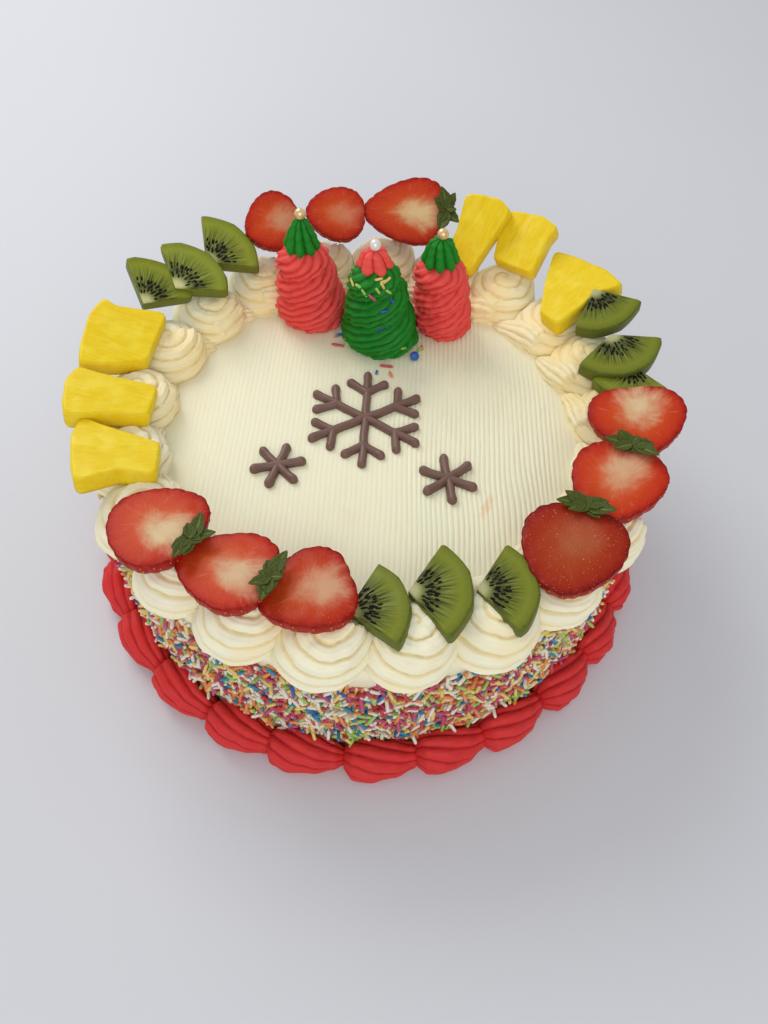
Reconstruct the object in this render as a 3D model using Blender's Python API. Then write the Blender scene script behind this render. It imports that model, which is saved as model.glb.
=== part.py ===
"""A Christmas cake: a round cream cake with a combed top, sprinkled sides, a ring of cream
swirls that carries sliced fruit, a red shell border, three piped trees and piped chocolate.

Metres, +Z up. The origin is the middle of the flat underside. The front faces -Y.
Fruit places are given by their angle round the cake, 0 at +X and growing anticlockwise.
"""
import math
import random

import bmesh
import bpy
from mathutils import Matrix, Vector

# Driving dimensions of the cake
CAKE_RADIUS = 0.121
CAKE_HEIGHT = 0.0796
CAKE_SEGMENTS = 60
EDGE_ROUNDING = 0.003
GAP = 0.0003

# Combed cream top
COMB_RADIUS = 0.0885
COMB_PITCH = 0.0022
COMB_VALLEY = CAKE_HEIGHT + 0.0001
COMB_CREST = CAKE_HEIGHT + 0.0007
COMB_DEPTH = 0.004
TOP = COMB_CREST + GAP

# Sprinkles
SPRINKLE_RADIUS = 0.0009
SPRINKLE_ROWS = 6
SPRINKLES_PER_ROW = 9
SPRINKLE_BAND = (0.028, 0.070)
SPRINKLE_LENGTHS = (0.004, 0.006)
SPRINKLE_RISE = 0.0004
# Loose on the top: two sprinkles, each with its place and turn in degrees, and one sugar ball
LOOSE_SPRINKLES = ((-0.019, 0.0535, -8), (0.0055, 0.0405, -4))
LOOSE_LENGTH = 0.0065
SUGAR_BALL_RADIUS = 0.0023
SUGAR_BALL_PLACE = (0.0190, 0.0470, COMB_CREST + 0.0015)

# Cream swirls
SWIRL_COUNT = 21
SWIRL_FIRST_ANGLE = math.radians(-132.0)
SWIRL_CIRCLE = 0.1095
SWIRL_RADIUS = 0.0187
SWIRL_HEIGHT = 0.0165
SWIRL_SEGMENTS = 12
SWIRL_SWELL = 0.05
SWIRL_LIFT = 0.10
# Ridges and creases of a swirl from its foot to its middle: share of radius, share of height
SWIRL_PROFILE = ((0.90, -0.21), (1.00, 0.14), (0.90, 0.50), (0.68, 0.70), (0.58, 0.92), (0.20, 1.00))

# Red shell border
SHELL_COUNT = 25
SHELL_FIRST_ANGLE = math.radians(-164.0)
SHELL_INNER = CAKE_RADIUS + GAP
SHELL_WIDTH = 0.0180
SHELL_HEIGHT = 0.0210
# A shell from its round head to its tail: share of length, share of width and height
SHELL_PROFILE = ((0.00, 0.56), (0.08, 0.90), (0.36, 1.00), (0.74, 0.78))
# A cut across a shell from its outer foot over its ridges to the cake: shares of width, height
SHELL_SECTION = ((0.92, 0.00), (1.00, 0.20), (0.90, 0.42), (0.87, 0.66), (0.69, 0.76),
                 (0.58, 0.97), (0.38, 0.93), (0.24, 0.98), (0.00, 0.76), (0.00, 0.00))

# Fruit
KIWI_THICKNESS = 0.0075
PINEAPPLE_THICKNESS = 0.0095
BERRY_DEPTH = 0.0125
BERRY_STEPS = 14
KIWI_STEPS = 8
PINEAPPLE_BOW = 0.0035
FRUIT_ROOM = 0.0005

# Leaves on a berry: half their spread across the stem, their half depth, wave and thickness
CALYX_SPREAD = 0.0115
CALYX_DEPTH = 0.0042
CALYX_WAVE = 0.0009
CALYX_THICKNESS = 0.0009
CALYX_LOBES = 7
CALYX_RISE = 0.0016

# Piped chocolate
CHOCOLATE_WIDTH = 0.0042
CHOCOLATE_HEIGHT = 0.0030
STROKE_STEPS = 3
# Name, place, reach of an arm, turn in degrees, branched or plain
FLAKES = (
    ("chocolate_snowflake", (-0.003, 0.006), 0.0270, 90, True),
    ("chocolate_star_left", (-0.0400, -0.0240), 0.0105, 75, False),
    ("chocolate_star_right", (0.0350, -0.0270), 0.0115, 100, False),
)

UNEVEN = random.Random(24)

# Every piece of fruit: angle, circle radius, height of its middle, heading of its long axis
# from straight out, lean of its outer edge upwards, roll of its anticlockwise side upwards
STRAWBERRIES = (
    # angle, circle, height, heading, lean, roll, length, width, taper
    (-138.8, 0.1077, 0.1010, 110, 4, 5, 0.0390, 0.0405, 0.22),
    (-120.0, 0.1025, 0.1000, 103, 3, 6, 0.0415, 0.0350, 0.32),
    (-101.5, 0.0985, 0.0995, 124, 3, 6, 0.0380, 0.0355, 0.34),
    (-43.0, 0.1098, 0.1035, 112, 5, 6, 0.0420, 0.0400, 0.25),
    (-23.0, 0.1095, 0.1045, 86, 8, 6, 0.0410, 0.0370, 0.30),
    (-4.0, 0.1150, 0.1050, 95, 8, 5, 0.0370, 0.0400, 0.28),
    (84.5, 0.1200, 0.1130, -84, 34, 0, 0.0445, 0.0325, 0.36),
    (101.5, 0.1180, 0.1125, -98, 30, 0, 0.0310, 0.0275, 0.18),
    (117.0, 0.1185, 0.1125, -78, 30, 4, 0.0315, 0.0305, 0.26),
)
KIWIS = (
    # angle, circle, height, heading, lean, roll, radius, opening
    (-86.5, 0.1010, 0.0985, 100, 2, 6, 0.0240, 98),
    (-72.7, 0.0980, 0.0995, 76, 2, 7, 0.0250, 110),
    (-59.0, 0.1060, 0.0990, 64, 3, 6, 0.0240, 108),
    (10.2, 0.1185, 0.0990, -112, 6, 2, 0.0205, 112),
    (17.2, 0.1185, 0.1030, -86, 6, 6, 0.0240, 128),
    (29.4, 0.1225, 0.1080, -99, 16, 8, 0.0235, 94),
    (131.3, 0.1175, 0.1090, -76, 22, -6, 0.0260, 98),
    (142.4, 0.1145, 0.1085, -80, 18, -8, 0.0255, 108),
    (150.6, 0.1215, 0.1075, -76, 26, -6, 0.0245, 94),
)
PINEAPPLES = (
    # angle, circle, height, heading, lean, roll, length, inner width, outer width, skew
    (39.0, 0.1175, 0.1055, 8, 16, -4, 0.0400, 0.0120, 0.0430, 0.004),
    (56.0, 0.1235, 0.1115, 6, 32, -4, 0.0300, 0.0220, 0.0310, 0.002),
    (66.4, 0.1150, 0.1120, -4, 40, -4, 0.0400, 0.0160, 0.0250, -0.002),
    (166.8, 0.1185, 0.1050, 10, 16, -4, 0.0330, 0.0290, 0.0390, 0.006),
    (-176.4, 0.1130, 0.1035, 0, 12, 2, 0.0390, 0.0180, 0.0290, 0.000),
    (-161.5, 0.1100, 0.1020, -8, 10, 4, 0.0365, 0.0180, 0.0380, -0.006),
)
CALYXES = (1, 2, 4, 5, 7)
# Pairs of pieces that overlap, the one on top first
FRUIT_ON_FRUIT = (
    ("strawberry_1", "strawberry_2"), ("strawberry_2", "strawberry_3"), ("strawberry_3", "kiwi_1"),
    ("kiwi_1", "kiwi_2"), ("kiwi_2", "kiwi_3"), ("kiwi_3", "strawberry_4"),
    ("strawberry_4", "strawberry_5"), ("strawberry_5", "strawberry_6"), ("strawberry_6", "kiwi_4"),
    ("strawberry_6", "kiwi_5"), ("kiwi_5", "kiwi_4"), ("kiwi_6", "kiwi_5"), ("kiwi_6", "pineapple_1"),
    ("kiwi_5", "pineapple_1"), ("pineapple_2", "pineapple_1"), ("pineapple_2", "pineapple_3"),
    ("strawberry_7", "pineapple_3"), ("strawberry_8", "strawberry_7"),
    ("strawberry_9", "strawberry_8"), ("strawberry_9", "kiwi_7"), ("kiwi_8", "kiwi_7"),
    ("kiwi_9", "kiwi_8"), ("kiwi_9", "pineapple_4"), ("pineapple_5", "pineapple_4"),
    ("pineapple_5", "pineapple_6"), ("strawberry_1", "pineapple_6"),
)

# Trees: name, place, foot radius, radius under the cap, height, lean to the left at the top
TREES = (
    ("tree_left", (-0.0330, 0.0762), 0.0172, 0.0108, 0.0385, 0.0038),
    ("tree_middle", (0.0017, 0.0610), 0.0183, 0.0100, 0.0420, 0.0035),
    ("tree_right", (0.0326, 0.0718), 0.0138, 0.0110, 0.0375, 0.0040),
)
# Caps in the order of the trees: radius, height, pinch of the tip, flutes
CAPS = ((0.0088, 0.0150, 0.52, 8), (0.0086, 0.0080, 0.30, 6), (0.0092, 0.0120, 0.35, 8))
TREE_TIERS = 3
TREE_SEGMENTS = 16
TREE_LEVELS = 12
TREE_FLUTES = 9
TREE_TWIST = 34.0
TREE_ROOM = 0.0012
CAP_CLEARANCE = 0.0015
PEARL_RADIUS = 0.0027


def clear_scene():
    for old in list(bpy.data.objects):
        bpy.data.objects.remove(old, do_unlink=True)


def material(name, colour, roughness=0.5, metallic=0.0):
    made = bpy.data.materials.new(name)
    made.use_nodes = True
    shader = made.node_tree.nodes["Principled BSDF"]
    shader.inputs["Base Color"].default_value = (*colour, 1.0)
    shader.inputs["Roughness"].default_value = roughness
    shader.inputs["Metallic"].default_value = metallic
    return made


def add_object(name, bm, made_of, smooth=True):
    bmesh.ops.recalc_face_normals(bm, faces=bm.faces)
    mesh = bpy.data.meshes.new(name)
    bm.to_mesh(mesh)
    bm.free()
    if smooth:
        mesh.shade_smooth()
        mesh.set_sharp_from_angle(angle=math.radians(40))
    mesh.materials.append(made_of)
    thing = bpy.data.objects.new(name, mesh)
    bpy.context.scene.collection.objects.link(thing)
    return thing


def loft(bm, rings):
    """Joins closed rings of points, each the same length, into one skin and caps both ends."""
    loops = [[bm.verts.new(point) for point in ring] for ring in rings]
    count = len(loops[0])
    for low, high in zip(loops, loops[1:]):
        for index in range(count):
            after = (index + 1) % count
            bm.faces.new((low[index], low[after], high[after], high[index]))
    bm.faces.new(list(reversed(loops[0])))
    bm.faces.new(loops[-1])


def apply_modifiers(thing):
    """Writes the evaluated shape of an object back as its own mesh."""
    bpy.context.view_layer.update()
    evaluated = thing.evaluated_get(bpy.context.evaluated_depsgraph_get())
    shaped = bpy.data.meshes.new_from_object(evaluated)
    thing.modifiers.clear()
    thing.data = shaped


def boolean(thing, others, operation):
    """Joins other objects to an object or cuts them out of it, and removes them."""
    group = bpy.data.collections.new("boolean_group")
    bpy.context.scene.collection.children.link(group)
    for other in others:
        group.objects.link(other)
    step = thing.modifiers.new("boolean", "BOOLEAN")
    step.operand_type = "COLLECTION"
    step.collection = group
    step.operation = operation
    step.solver = "EXACT"
    apply_modifiers(thing)
    for other in others:
        bpy.data.objects.remove(other, do_unlink=True)
    bpy.data.collections.remove(group)


def keep_largest(thing):
    """Drops the loose scraps that a cut leaves beside the main body."""
    bm = bmesh.new()
    bm.from_mesh(thing.data)
    islands = []
    unseen = set(bm.verts)
    while unseen:
        island = [unseen.pop()]
        for vertex in island:
            for edge in vertex.link_edges:
                other = edge.other_vert(vertex)
                if other in unseen:
                    unseen.remove(other)
                    island.append(other)
        islands.append(island)
    islands.sort(key=len)
    for island in islands[:-1]:
        bmesh.ops.delete(bm, geom=island, context="VERTS")
    bm.to_mesh(thing.data)
    bm.free()


def cutter_from(thing, spread):
    """A copy of a piece, grown by a small distance, that cuts room for it in its neighbours."""
    bm = bmesh.new()
    bm.from_mesh(thing.data)
    bm.normal_update()
    for vertex, normal in [(v, v.normal.copy()) for v in bm.verts]:
        vertex.co += normal * spread
    cutter = add_object(thing.name + "_room", bm, thing.data.materials[0], smooth=False)
    cutter.matrix_world = thing.matrix_world
    cutter.hide_render = True
    cutter.display_type = "WIRE"
    return cutter


def polar(angle, radius, height=0.0):
    return Vector((radius * math.cos(angle), radius * math.sin(angle), height))


# Cake with combed top and sprinkles

def sprinkle(bm, centre, direction, length):
    turn = Vector((0, 0, 1)).rotation_difference(direction).to_matrix().to_4x4()
    bmesh.ops.create_cone(bm, cap_ends=True, segments=5, radius1=SPRINKLE_RADIUS,
                          radius2=SPRINKLE_RADIUS, depth=length,
                          matrix=Matrix.Translation(centre) @ turn)


def comb_plate(cream):
    """The cream top, drawn across with a comb from front to back."""
    ridges = round(2 * COMB_RADIUS / COMB_PITCH)
    bm = bmesh.new()
    outline = [Vector((-COMB_RADIUS, -COMB_RADIUS, CAKE_HEIGHT - COMB_DEPTH))]
    for step in range(2 * ridges + 1):
        height = COMB_CREST if step % 2 else COMB_VALLEY
        outline.append(Vector((-COMB_RADIUS + step * COMB_PITCH / 2, -COMB_RADIUS, height)))
    outline.append(Vector((outline[-1].x, -COMB_RADIUS, CAKE_HEIGHT - COMB_DEPTH)))
    face = bm.faces.new([bm.verts.new(point) for point in outline])
    swept = bmesh.ops.extrude_face_region(bm, geom=[face])["geom"]
    corners = [item for item in swept if isinstance(item, bmesh.types.BMVert)]
    bmesh.ops.translate(bm, verts=corners, vec=(0, 2 * COMB_RADIUS, 0))
    plate = add_object("comb_plate", bm, cream, smooth=False)
    round_bm = bmesh.new()
    bmesh.ops.create_cone(round_bm, cap_ends=True, segments=CAKE_SEGMENTS, radius1=COMB_RADIUS,
                          radius2=COMB_RADIUS, depth=0.02,
                          matrix=Matrix.Translation((0, 0, CAKE_HEIGHT)))
    boolean(plate, [add_object("comb_rim", round_bm, cream, smooth=False)], "INTERSECT")
    return plate


def cake_body():
    cream = material("whipped_cream_body", (0.86, 0.80, 0.62), 0.55)
    bm = bmesh.new()
    bmesh.ops.create_cone(bm, cap_ends=True, segments=CAKE_SEGMENTS, radius1=CAKE_RADIUS,
                          radius2=CAKE_RADIUS, depth=CAKE_HEIGHT,
                          matrix=Matrix.Translation((0, 0, CAKE_HEIGHT / 2)))
    rim = [edge for edge in bm.edges if all(v.co.z > CAKE_HEIGHT / 2 for v in edge.verts)]
    bmesh.ops.bevel(bm, geom=rim, offset=EDGE_ROUNDING, affect="EDGES", segments=2, profile=0.5)
    body = add_object("cake_body", bm, cream)
    low, high = SPRINKLE_BAND
    joined = [comb_plate(cream)]
    for row in range(SPRINKLE_ROWS):
        for place in range(SPRINKLES_PER_ROW):
            share = (place + 0.5 * (row % 2) + UNEVEN.uniform(-0.25, 0.25)) / SPRINKLES_PER_ROW
            angle = share * math.tau
            height = low + (high - low) * (row + UNEVEN.uniform(0.2, 0.8)) / SPRINKLE_ROWS
            tangent = Vector((-math.sin(angle), math.cos(angle), 0))
            slope = UNEVEN.uniform(-1.4, 1.4)
            direction = tangent * math.cos(slope) + Vector((0, 0, math.sin(slope)))
            bm = bmesh.new()
            sprinkle(bm, polar(angle, CAKE_RADIUS + SPRINKLE_RISE, height), direction,
                     UNEVEN.uniform(*SPRINKLE_LENGTHS))
            joined.append(add_object("sprinkle", bm, cream, smooth=False))
    for x, y, turn in LOOSE_SPRINKLES:
        bm = bmesh.new()
        sprinkle(bm, Vector((x, y, COMB_CREST + SPRINKLE_RISE)), polar(math.radians(turn), 1.0), LOOSE_LENGTH)
        joined.append(add_object("sprinkle", bm, cream, smooth=False))
    ball = bmesh.new()
    bmesh.ops.create_icosphere(ball, subdivisions=2, radius=SUGAR_BALL_RADIUS,
                               matrix=Matrix.Translation(SUGAR_BALL_PLACE))
    joined.append(add_object("sugar_ball", ball, cream))
    boolean(body, joined, "UNION")
    return body


# Piped cream swirls

def swirl(index, cream):
    """One flat rosette: rounds of a ridged rope that rise to its middle."""
    angle = SWIRL_FIRST_ANGLE + index * math.tau / SWIRL_COUNT
    radius = SWIRL_RADIUS * UNEVEN.uniform(0.97, 1.04)
    height = SWIRL_HEIGHT * UNEVEN.uniform(0.93, 1.05)
    centre = polar(angle + UNEVEN.uniform(-0.01, 0.01), SWIRL_CIRCLE)
    tail = angle + math.radians(UNEVEN.uniform(40, 80))
    rings = []
    for share, level in SWIRL_PROFILE:
        ring = []
        for step in range(SWIRL_SEGMENTS):
            around = math.tau * step / SWIRL_SEGMENTS
            swell = 1 + SWIRL_SWELL * math.cos(around - tail)
            lift = 1 + SWIRL_LIFT * math.cos(around - tail) * max(level, 0.0)
            base = CAKE_HEIGHT + GAP
            ring.append(centre + polar(around, radius * share * swell, base + height * level * lift))
        rings.append(ring)
    bm = bmesh.new()
    loft(bm, rings)
    return add_object("swirl", bm, cream)


def swirl_ring():
    cream = material("whipped_cream_swirls", (0.92, 0.87, 0.70), 0.45)
    swirls = [swirl(index, cream) for index in range(SWIRL_COUNT)]
    ring = swirls[0]
    ring.name = "cream_swirls"
    boolean(ring, swirls[1:], "UNION")
    bm = bmesh.new()
    bmesh.ops.create_cone(bm, cap_ends=True, segments=CAKE_SEGMENTS, radius1=CAKE_RADIUS + GAP,
                          radius2=CAKE_RADIUS + GAP, depth=CAKE_HEIGHT + GAP,
                          matrix=Matrix.Translation((0, 0, (CAKE_HEIGHT + GAP) / 2)))
    boolean(ring, [add_object("cake_room", bm, cream, smooth=False)], "DIFFERENCE")
    return ring


# Red shell border

def shell_border():
    """A run of piped shells, each a fat ridged head that narrows to a tail under the next."""
    red = material("red_cream", (0.72, 0.035, 0.035), 0.4)
    pitch = math.tau / SHELL_COUNT
    bm = bmesh.new()
    rings = []
    for index in range(SHELL_COUNT):
        start = SHELL_FIRST_ANGLE + index * pitch + UNEVEN.uniform(-0.012, 0.012)
        size = UNEVEN.uniform(0.96, 1.03)
        for along, share in SHELL_PROFILE:
            angle = start + along * pitch
            ring = [polar(angle, SHELL_INNER + SHELL_WIDTH * size * share * out,
                          SHELL_HEIGHT * size * share * up) for out, up in SHELL_SECTION]
            rings.append([bm.verts.new(point) for point in ring])
    for here, after in zip(rings, rings[1:] + rings[:1]):
        for index in range(len(here)):
            other = (index + 1) % len(here)
            bm.faces.new((here[index], here[other], after[other], after[index]))
    return add_object("red_shell_border", bm, red)


# Fruit

def fruit_place(angle, circle, height, heading, lean, roll):
    turn = math.radians(angle)
    return (Matrix.Translation(polar(turn, circle, height))
            @ Matrix.Rotation(turn, 4, "Z")
            @ Matrix.Rotation(math.radians(-lean), 4, "Y")
            @ Matrix.Rotation(math.radians(roll), 4, "X")
            @ Matrix.Rotation(math.radians(heading), 4, "Z"))


def berry_outline(length, width, taper):
    """The outline of a halved berry, its stem end towards +X and its tip towards -X."""
    outline = []
    for step in range(BERRY_STEPS):
        turn = math.tau * step / BERRY_STEPS
        notch = 0.08 * math.exp(-(math.sin(turn / 2) / 0.16) ** 2)
        x = length / 2 * (math.cos(turn) - notch)
        y = width / 2 * math.sin(turn) * (1 + taper * math.cos(turn))
        outline.append(Vector((x, y, 0)))
    return outline


def strawberry(number, row, flesh):
    angle, circle, height, heading, lean, roll, length, width, taper = row
    outline = berry_outline(length, width, taper)
    rings = [[point * 0.42 + Vector((0, 0, -BERRY_DEPTH)) for point in outline],
             [point * 0.80 + Vector((0, 0, -BERRY_DEPTH * 0.74)) for point in outline],
             [point * 1.00 + Vector((0, 0, -BERRY_DEPTH * 0.26)) for point in outline],
             [point * 0.98 for point in outline]]
    bm = bmesh.new()
    loft(bm, rings)
    bm.transform(fruit_place(angle, circle, height, heading, lean, roll))
    return add_object(f"strawberry_{number}", bm, flesh)


def kiwi(number, row, flesh):
    angle, circle, height, heading, lean, roll, radius, opening = row
    half = math.radians(opening) / 2
    arc = [-half + 2 * half * step / KIWI_STEPS for step in range(KIWI_STEPS + 1)]
    middle = radius * 0.45
    outline = [Vector((-middle, 0, 0))]
    outline += [Vector((radius * math.cos(turn) - middle, radius * math.sin(turn), 0)) for turn in arc]
    bm = bmesh.new()
    loft(bm, [[point + Vector((0, 0, -KIWI_THICKNESS)) for point in outline], outline])
    bm.transform(fruit_place(angle, circle, height, heading, lean, roll))
    return add_object(f"kiwi_{number}", bm, flesh)


def pineapple(number, row, flesh):
    angle, circle, height, heading, lean, roll, length, inner, outer, skew = row
    bow = PINEAPPLE_BOW
    outline = [Vector((-length / 2, -inner / 2 - skew, 0)),
               Vector((0.20 * length, -0.40 * (inner + outer) / 2 - 0.003, 0)),
               Vector((length / 2 - bow, -outer / 2, 0)),
               Vector((length / 2, -outer / 5, 0)),
               Vector((length / 2 - bow / 3, outer / 4, 0)),
               Vector((length / 2 - bow, outer / 2, 0)),
               Vector((-0.05 * length, 0.45 * (inner + outer) / 2, 0)),
               Vector((-length / 2 + bow / 2, inner / 2 - skew, 0))]
    bm = bmesh.new()
    low = [point * 0.97 + Vector((0, 0, -PINEAPPLE_THICKNESS)) for point in outline]
    loft(bm, [low, outline])
    bm.transform(fruit_place(angle, circle, height, heading, lean, roll))
    return add_object(f"pineapple_{number}", bm, flesh)


def fruit():
    """All the fruit, each piece cut clear of the piece that lies on it."""
    berry = material("strawberry_flesh", (0.62, 0.09, 0.05), 0.3)
    green = material("kiwi_flesh", (0.24, 0.33, 0.06), 0.3)
    yellow = material("pineapple_flesh", (0.83, 0.62, 0.07), 0.35)
    pieces = {}
    for number, row in enumerate(STRAWBERRIES, 1):
        pieces[f"strawberry_{number}"] = strawberry(number, row, berry)
    for number, row in enumerate(KIWIS, 1):
        pieces[f"kiwi_{number}"] = kiwi(number, row, green)
    for number, row in enumerate(PINEAPPLES, 1):
        pieces[f"pineapple_{number}"] = pineapple(number, row, yellow)
    for upper, lower in FRUIT_ON_FRUIT:
        boolean(pieces[lower], [cutter_from(pieces[upper], FRUIT_ROOM)], "DIFFERENCE")
        keep_largest(pieces[lower])
    return list(pieces.values())


def press_into(ring, pieces, bodies):
    """Cuts the hollows that the fruit and the trees press into the swirls."""
    rooms = [cutter_from(piece, FRUIT_ROOM) for piece in pieces]
    rooms += [cutter_from(body, TREE_ROOM) for body in bodies]
    boolean(ring, rooms, "DIFFERENCE")
    keep_largest(ring)


def calyx(number, leaf):
    """The green leaves left on a halved berry: a thin wavy fan across its stem end."""
    angle, circle, height, heading, lean, roll, length = STRAWBERRIES[number - 1][:7]
    steps = 2 * CALYX_LOBES
    outline = []
    for step in range(steps):
        turn = math.tau * step / steps
        lobe = 1.0 if step % 2 == 0 else 0.55
        outline.append(Vector((CALYX_DEPTH * lobe * math.cos(turn), CALYX_SPREAD * lobe * math.sin(turn),
                               CALYX_WAVE * math.sin(3 * turn + number))))
    bm = bmesh.new()
    rims = []
    for level in (0.0, CALYX_THICKNESS):
        rim = [bm.verts.new(point + Vector((0, 0, level))) for point in outline]
        middle = bm.verts.new((0, 0, level + 0.0006))
        for index in range(steps):
            bm.faces.new((middle, rim[index], rim[(index + 1) % steps]))
        rims.append(rim)
    low, high = rims
    for index in range(steps):
        after = (index + 1) % steps
        bm.faces.new((low[index], low[after], high[after]))
        bm.faces.new((low[index], high[after], high[index]))
    place = fruit_place(angle, circle, height, heading, lean, roll)
    bm.transform(place @ Matrix.Translation((length / 2 - CALYX_THICKNESS, 0, CALYX_RISE)))
    return add_object(f"calyx_{number}", bm, leaf)


# Piped trees

def tree(name, place, foot, neck, height, lean, paint):
    """A cone of rope piped in three rounds, with flutes that climb to the right."""
    rings = []
    for level in range(TREE_LEVELS + 1):
        share = level / TREE_LEVELS
        ring = []
        for step in range(TREE_SEGMENTS):
            around = math.tau * step / TREE_SEGMENTS
            round_phase = (share * TREE_TIERS - around / math.tau) * math.tau
            flute_phase = TREE_FLUTES * around - share * TREE_TWIST
            radius = foot + (neck - foot) * share ** 1.15
            radius *= 1 + 0.07 * math.cos(round_phase) + 0.035 * math.cos(flute_phase)
            if level == 0:
                radius *= 0.88
            middle = Vector((place[0] - lean * share, place[1], TOP + height * share))
            ring.append(middle + polar(around, radius))
        rings.append(ring)
    bm = bmesh.new()
    loft(bm, rings)
    return add_object(name, bm, paint)


def cap(name, place, top, radius, height, flutes, pinch, paint):
    """The fluted tip of a tree: one squeeze of a star nozzle."""
    rings = []
    profile = ((0.0, 0.86), (0.12, 1.0), (0.5, 1.0 - pinch * 0.45), (0.85, 1.0 - pinch), (1.0, 0.30))
    for share, size in profile:
        ring = []
        for step in range(2 * flutes):
            around = math.tau * step / (2 * flutes)
            lobe = 1.0 if step % 2 == 0 else 0.74
            dip = -0.0012 if step % 2 == 0 and share < 0.05 else 0.0
            ring.append(Vector((*place, top + height * share + dip)) + polar(around, radius * size * lobe))
        rings.append(ring)
    bm = bmesh.new()
    loft(bm, rings)
    return add_object(name, bm, paint)


def pearl(name, place, height, paint):
    bm = bmesh.new()
    bmesh.ops.create_icosphere(bm, subdivisions=2, radius=PEARL_RADIUS,
                               matrix=Matrix.Translation((*place, height)))
    return add_object(name, bm, paint)


def trees():
    red = material("red_cream_trees", (0.76, 0.06, 0.06), 0.4)
    green = material("green_cream", (0.012, 0.19, 0.035), 0.4)
    gold = material("gold_pearl", (0.80, 0.55, 0.25), 0.25, 0.6)
    white = material("white_pearl", (0.85, 0.84, 0.78), 0.2, 0.3)
    paints = ((red, green, gold), (green, red, white), (red, green, gold))
    bodies = []
    for row, cap_row, (paint, tip, ball) in zip(TREES, CAPS, paints):
        name, place, foot, neck, height, lean = row
        cap_radius, cap_height, pinch, flutes = cap_row
        bodies.append(tree(name, place, foot, neck, height, lean, paint))
        head = (place[0] - lean, place[1])
        cap_foot = TOP + height + CAP_CLEARANCE
        cap(f"{name}_cap", head, cap_foot, cap_radius, cap_height, flutes, pinch, tip)
        pearl(f"{name}_pearl", head, cap_foot + cap_height + GAP + PEARL_RADIUS, ball)
    return bodies


# Piped chocolate snowflakes

def chocolate_stroke(start, end, brown, squash):
    """A short bar of piped chocolate with round ends, flat below."""
    along = Vector(end) - Vector(start)
    angle = math.atan2(along.y, along.x)
    half = CHOCOLATE_WIDTH / 2
    rings = []
    for share, level in ((1.0, 0.0), (0.92, 0.5), (0.45, 1.0)):
        ring = []
        for end_point, facing in ((Vector(end), angle), (Vector(start), angle + math.pi)):
            for step in range(STROKE_STEPS + 1):
                turn = facing - math.pi / 2 + math.pi * step / STROKE_STEPS
                ring.append(Vector((end_point.x, end_point.y, TOP + level * squash))
                            + polar(turn, half * share))
        rings.append(ring)
    bm = bmesh.new()
    loft(bm, rings)
    return add_object("stroke", bm, brown)


def snowflake(name, centre, reach, turn, branched, brown):
    strokes = []
    for arm in range(3):
        angle = math.radians(turn + 60 * arm)
        outward = polar(angle, reach).xy
        strokes.append(chocolate_stroke(Vector(centre) - outward, Vector(centre) + outward, brown,
                                        CHOCOLATE_HEIGHT * (1 + 0.03 * arm)))
    if branched:
        for arm in range(6):
            angle = math.radians(turn + 60 * arm)
            fork = Vector(centre) + polar(angle, reach * 0.60).xy
            for side in (-1, 1):
                tip = fork + polar(angle + side * math.radians(55), reach * 0.36).xy
                strokes.append(chocolate_stroke(fork, tip, brown, CHOCOLATE_HEIGHT * 0.94))
    flake = strokes[0]
    flake.name = name
    boolean(flake, strokes[1:], "UNION")
    return flake


def chocolate():
    brown = material("milk_chocolate", (0.16, 0.075, 0.05), 0.45)
    for name, centre, reach, turn, branched in FLAKES:
        snowflake(name, centre, reach, turn, branched, brown)


def main():
    clear_scene()
    cake_body()
    ring = swirl_ring()
    shell_border()
    press_into(ring, fruit(), trees())
    leaf = material("berry_leaf", (0.06, 0.17, 0.03), 0.5)
    for number in CALYXES:
        calyx(number, leaf)
    chocolate()


main()
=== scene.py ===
"""The looks of a Christmas cake: combed cream, piped swirls and shells, cut fruit, small piped trees,
piped chocolate and thousands of sugar sprinkles. Metres, +Z up, the front faces -Y.
"""

import random
from math import acos, atan2, cos, dist, exp, hypot, pi, radians, sin, sqrt, tau

import bmesh
import bpy
from mathutils import Matrix, Vector, noise


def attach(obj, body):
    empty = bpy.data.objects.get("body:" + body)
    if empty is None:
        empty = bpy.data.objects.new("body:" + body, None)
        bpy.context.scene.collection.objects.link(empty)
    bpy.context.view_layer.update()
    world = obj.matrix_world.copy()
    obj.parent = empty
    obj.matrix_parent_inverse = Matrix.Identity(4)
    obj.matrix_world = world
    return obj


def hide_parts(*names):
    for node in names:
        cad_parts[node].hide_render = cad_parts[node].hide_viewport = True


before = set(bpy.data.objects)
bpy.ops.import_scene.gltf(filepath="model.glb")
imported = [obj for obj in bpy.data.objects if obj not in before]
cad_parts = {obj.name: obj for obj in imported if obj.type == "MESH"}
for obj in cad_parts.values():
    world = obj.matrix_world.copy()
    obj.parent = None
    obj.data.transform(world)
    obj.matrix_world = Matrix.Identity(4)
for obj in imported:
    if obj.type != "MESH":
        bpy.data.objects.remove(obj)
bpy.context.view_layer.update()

UNEVEN = random.Random(11)
draw = UNEVEN.uniform

# Cake, as in the solids
CAKE_RADIUS = 0.121
CAKE_HEIGHT = 0.0796
COMB_CREST = CAKE_HEIGHT + 0.0007
TOP = COMB_CREST + 0.0003
FOOT_ROUNDING = 0.0005
EDGE_ROUNDING = 0.003
COAT_AROUND = 144
WALL_ROWS = 24
EDGE_ROWS = 5
WALL_LUMPS = 0.0004

# Combed top
COMB_RADIUS = 0.0945
COMB_PITCH = 0.0022
COMB_DEPTH = 0.00078
COMB_COLUMNS = 760
COMB_ROWS = 76
COMB_SKIRT = 0.003
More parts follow.
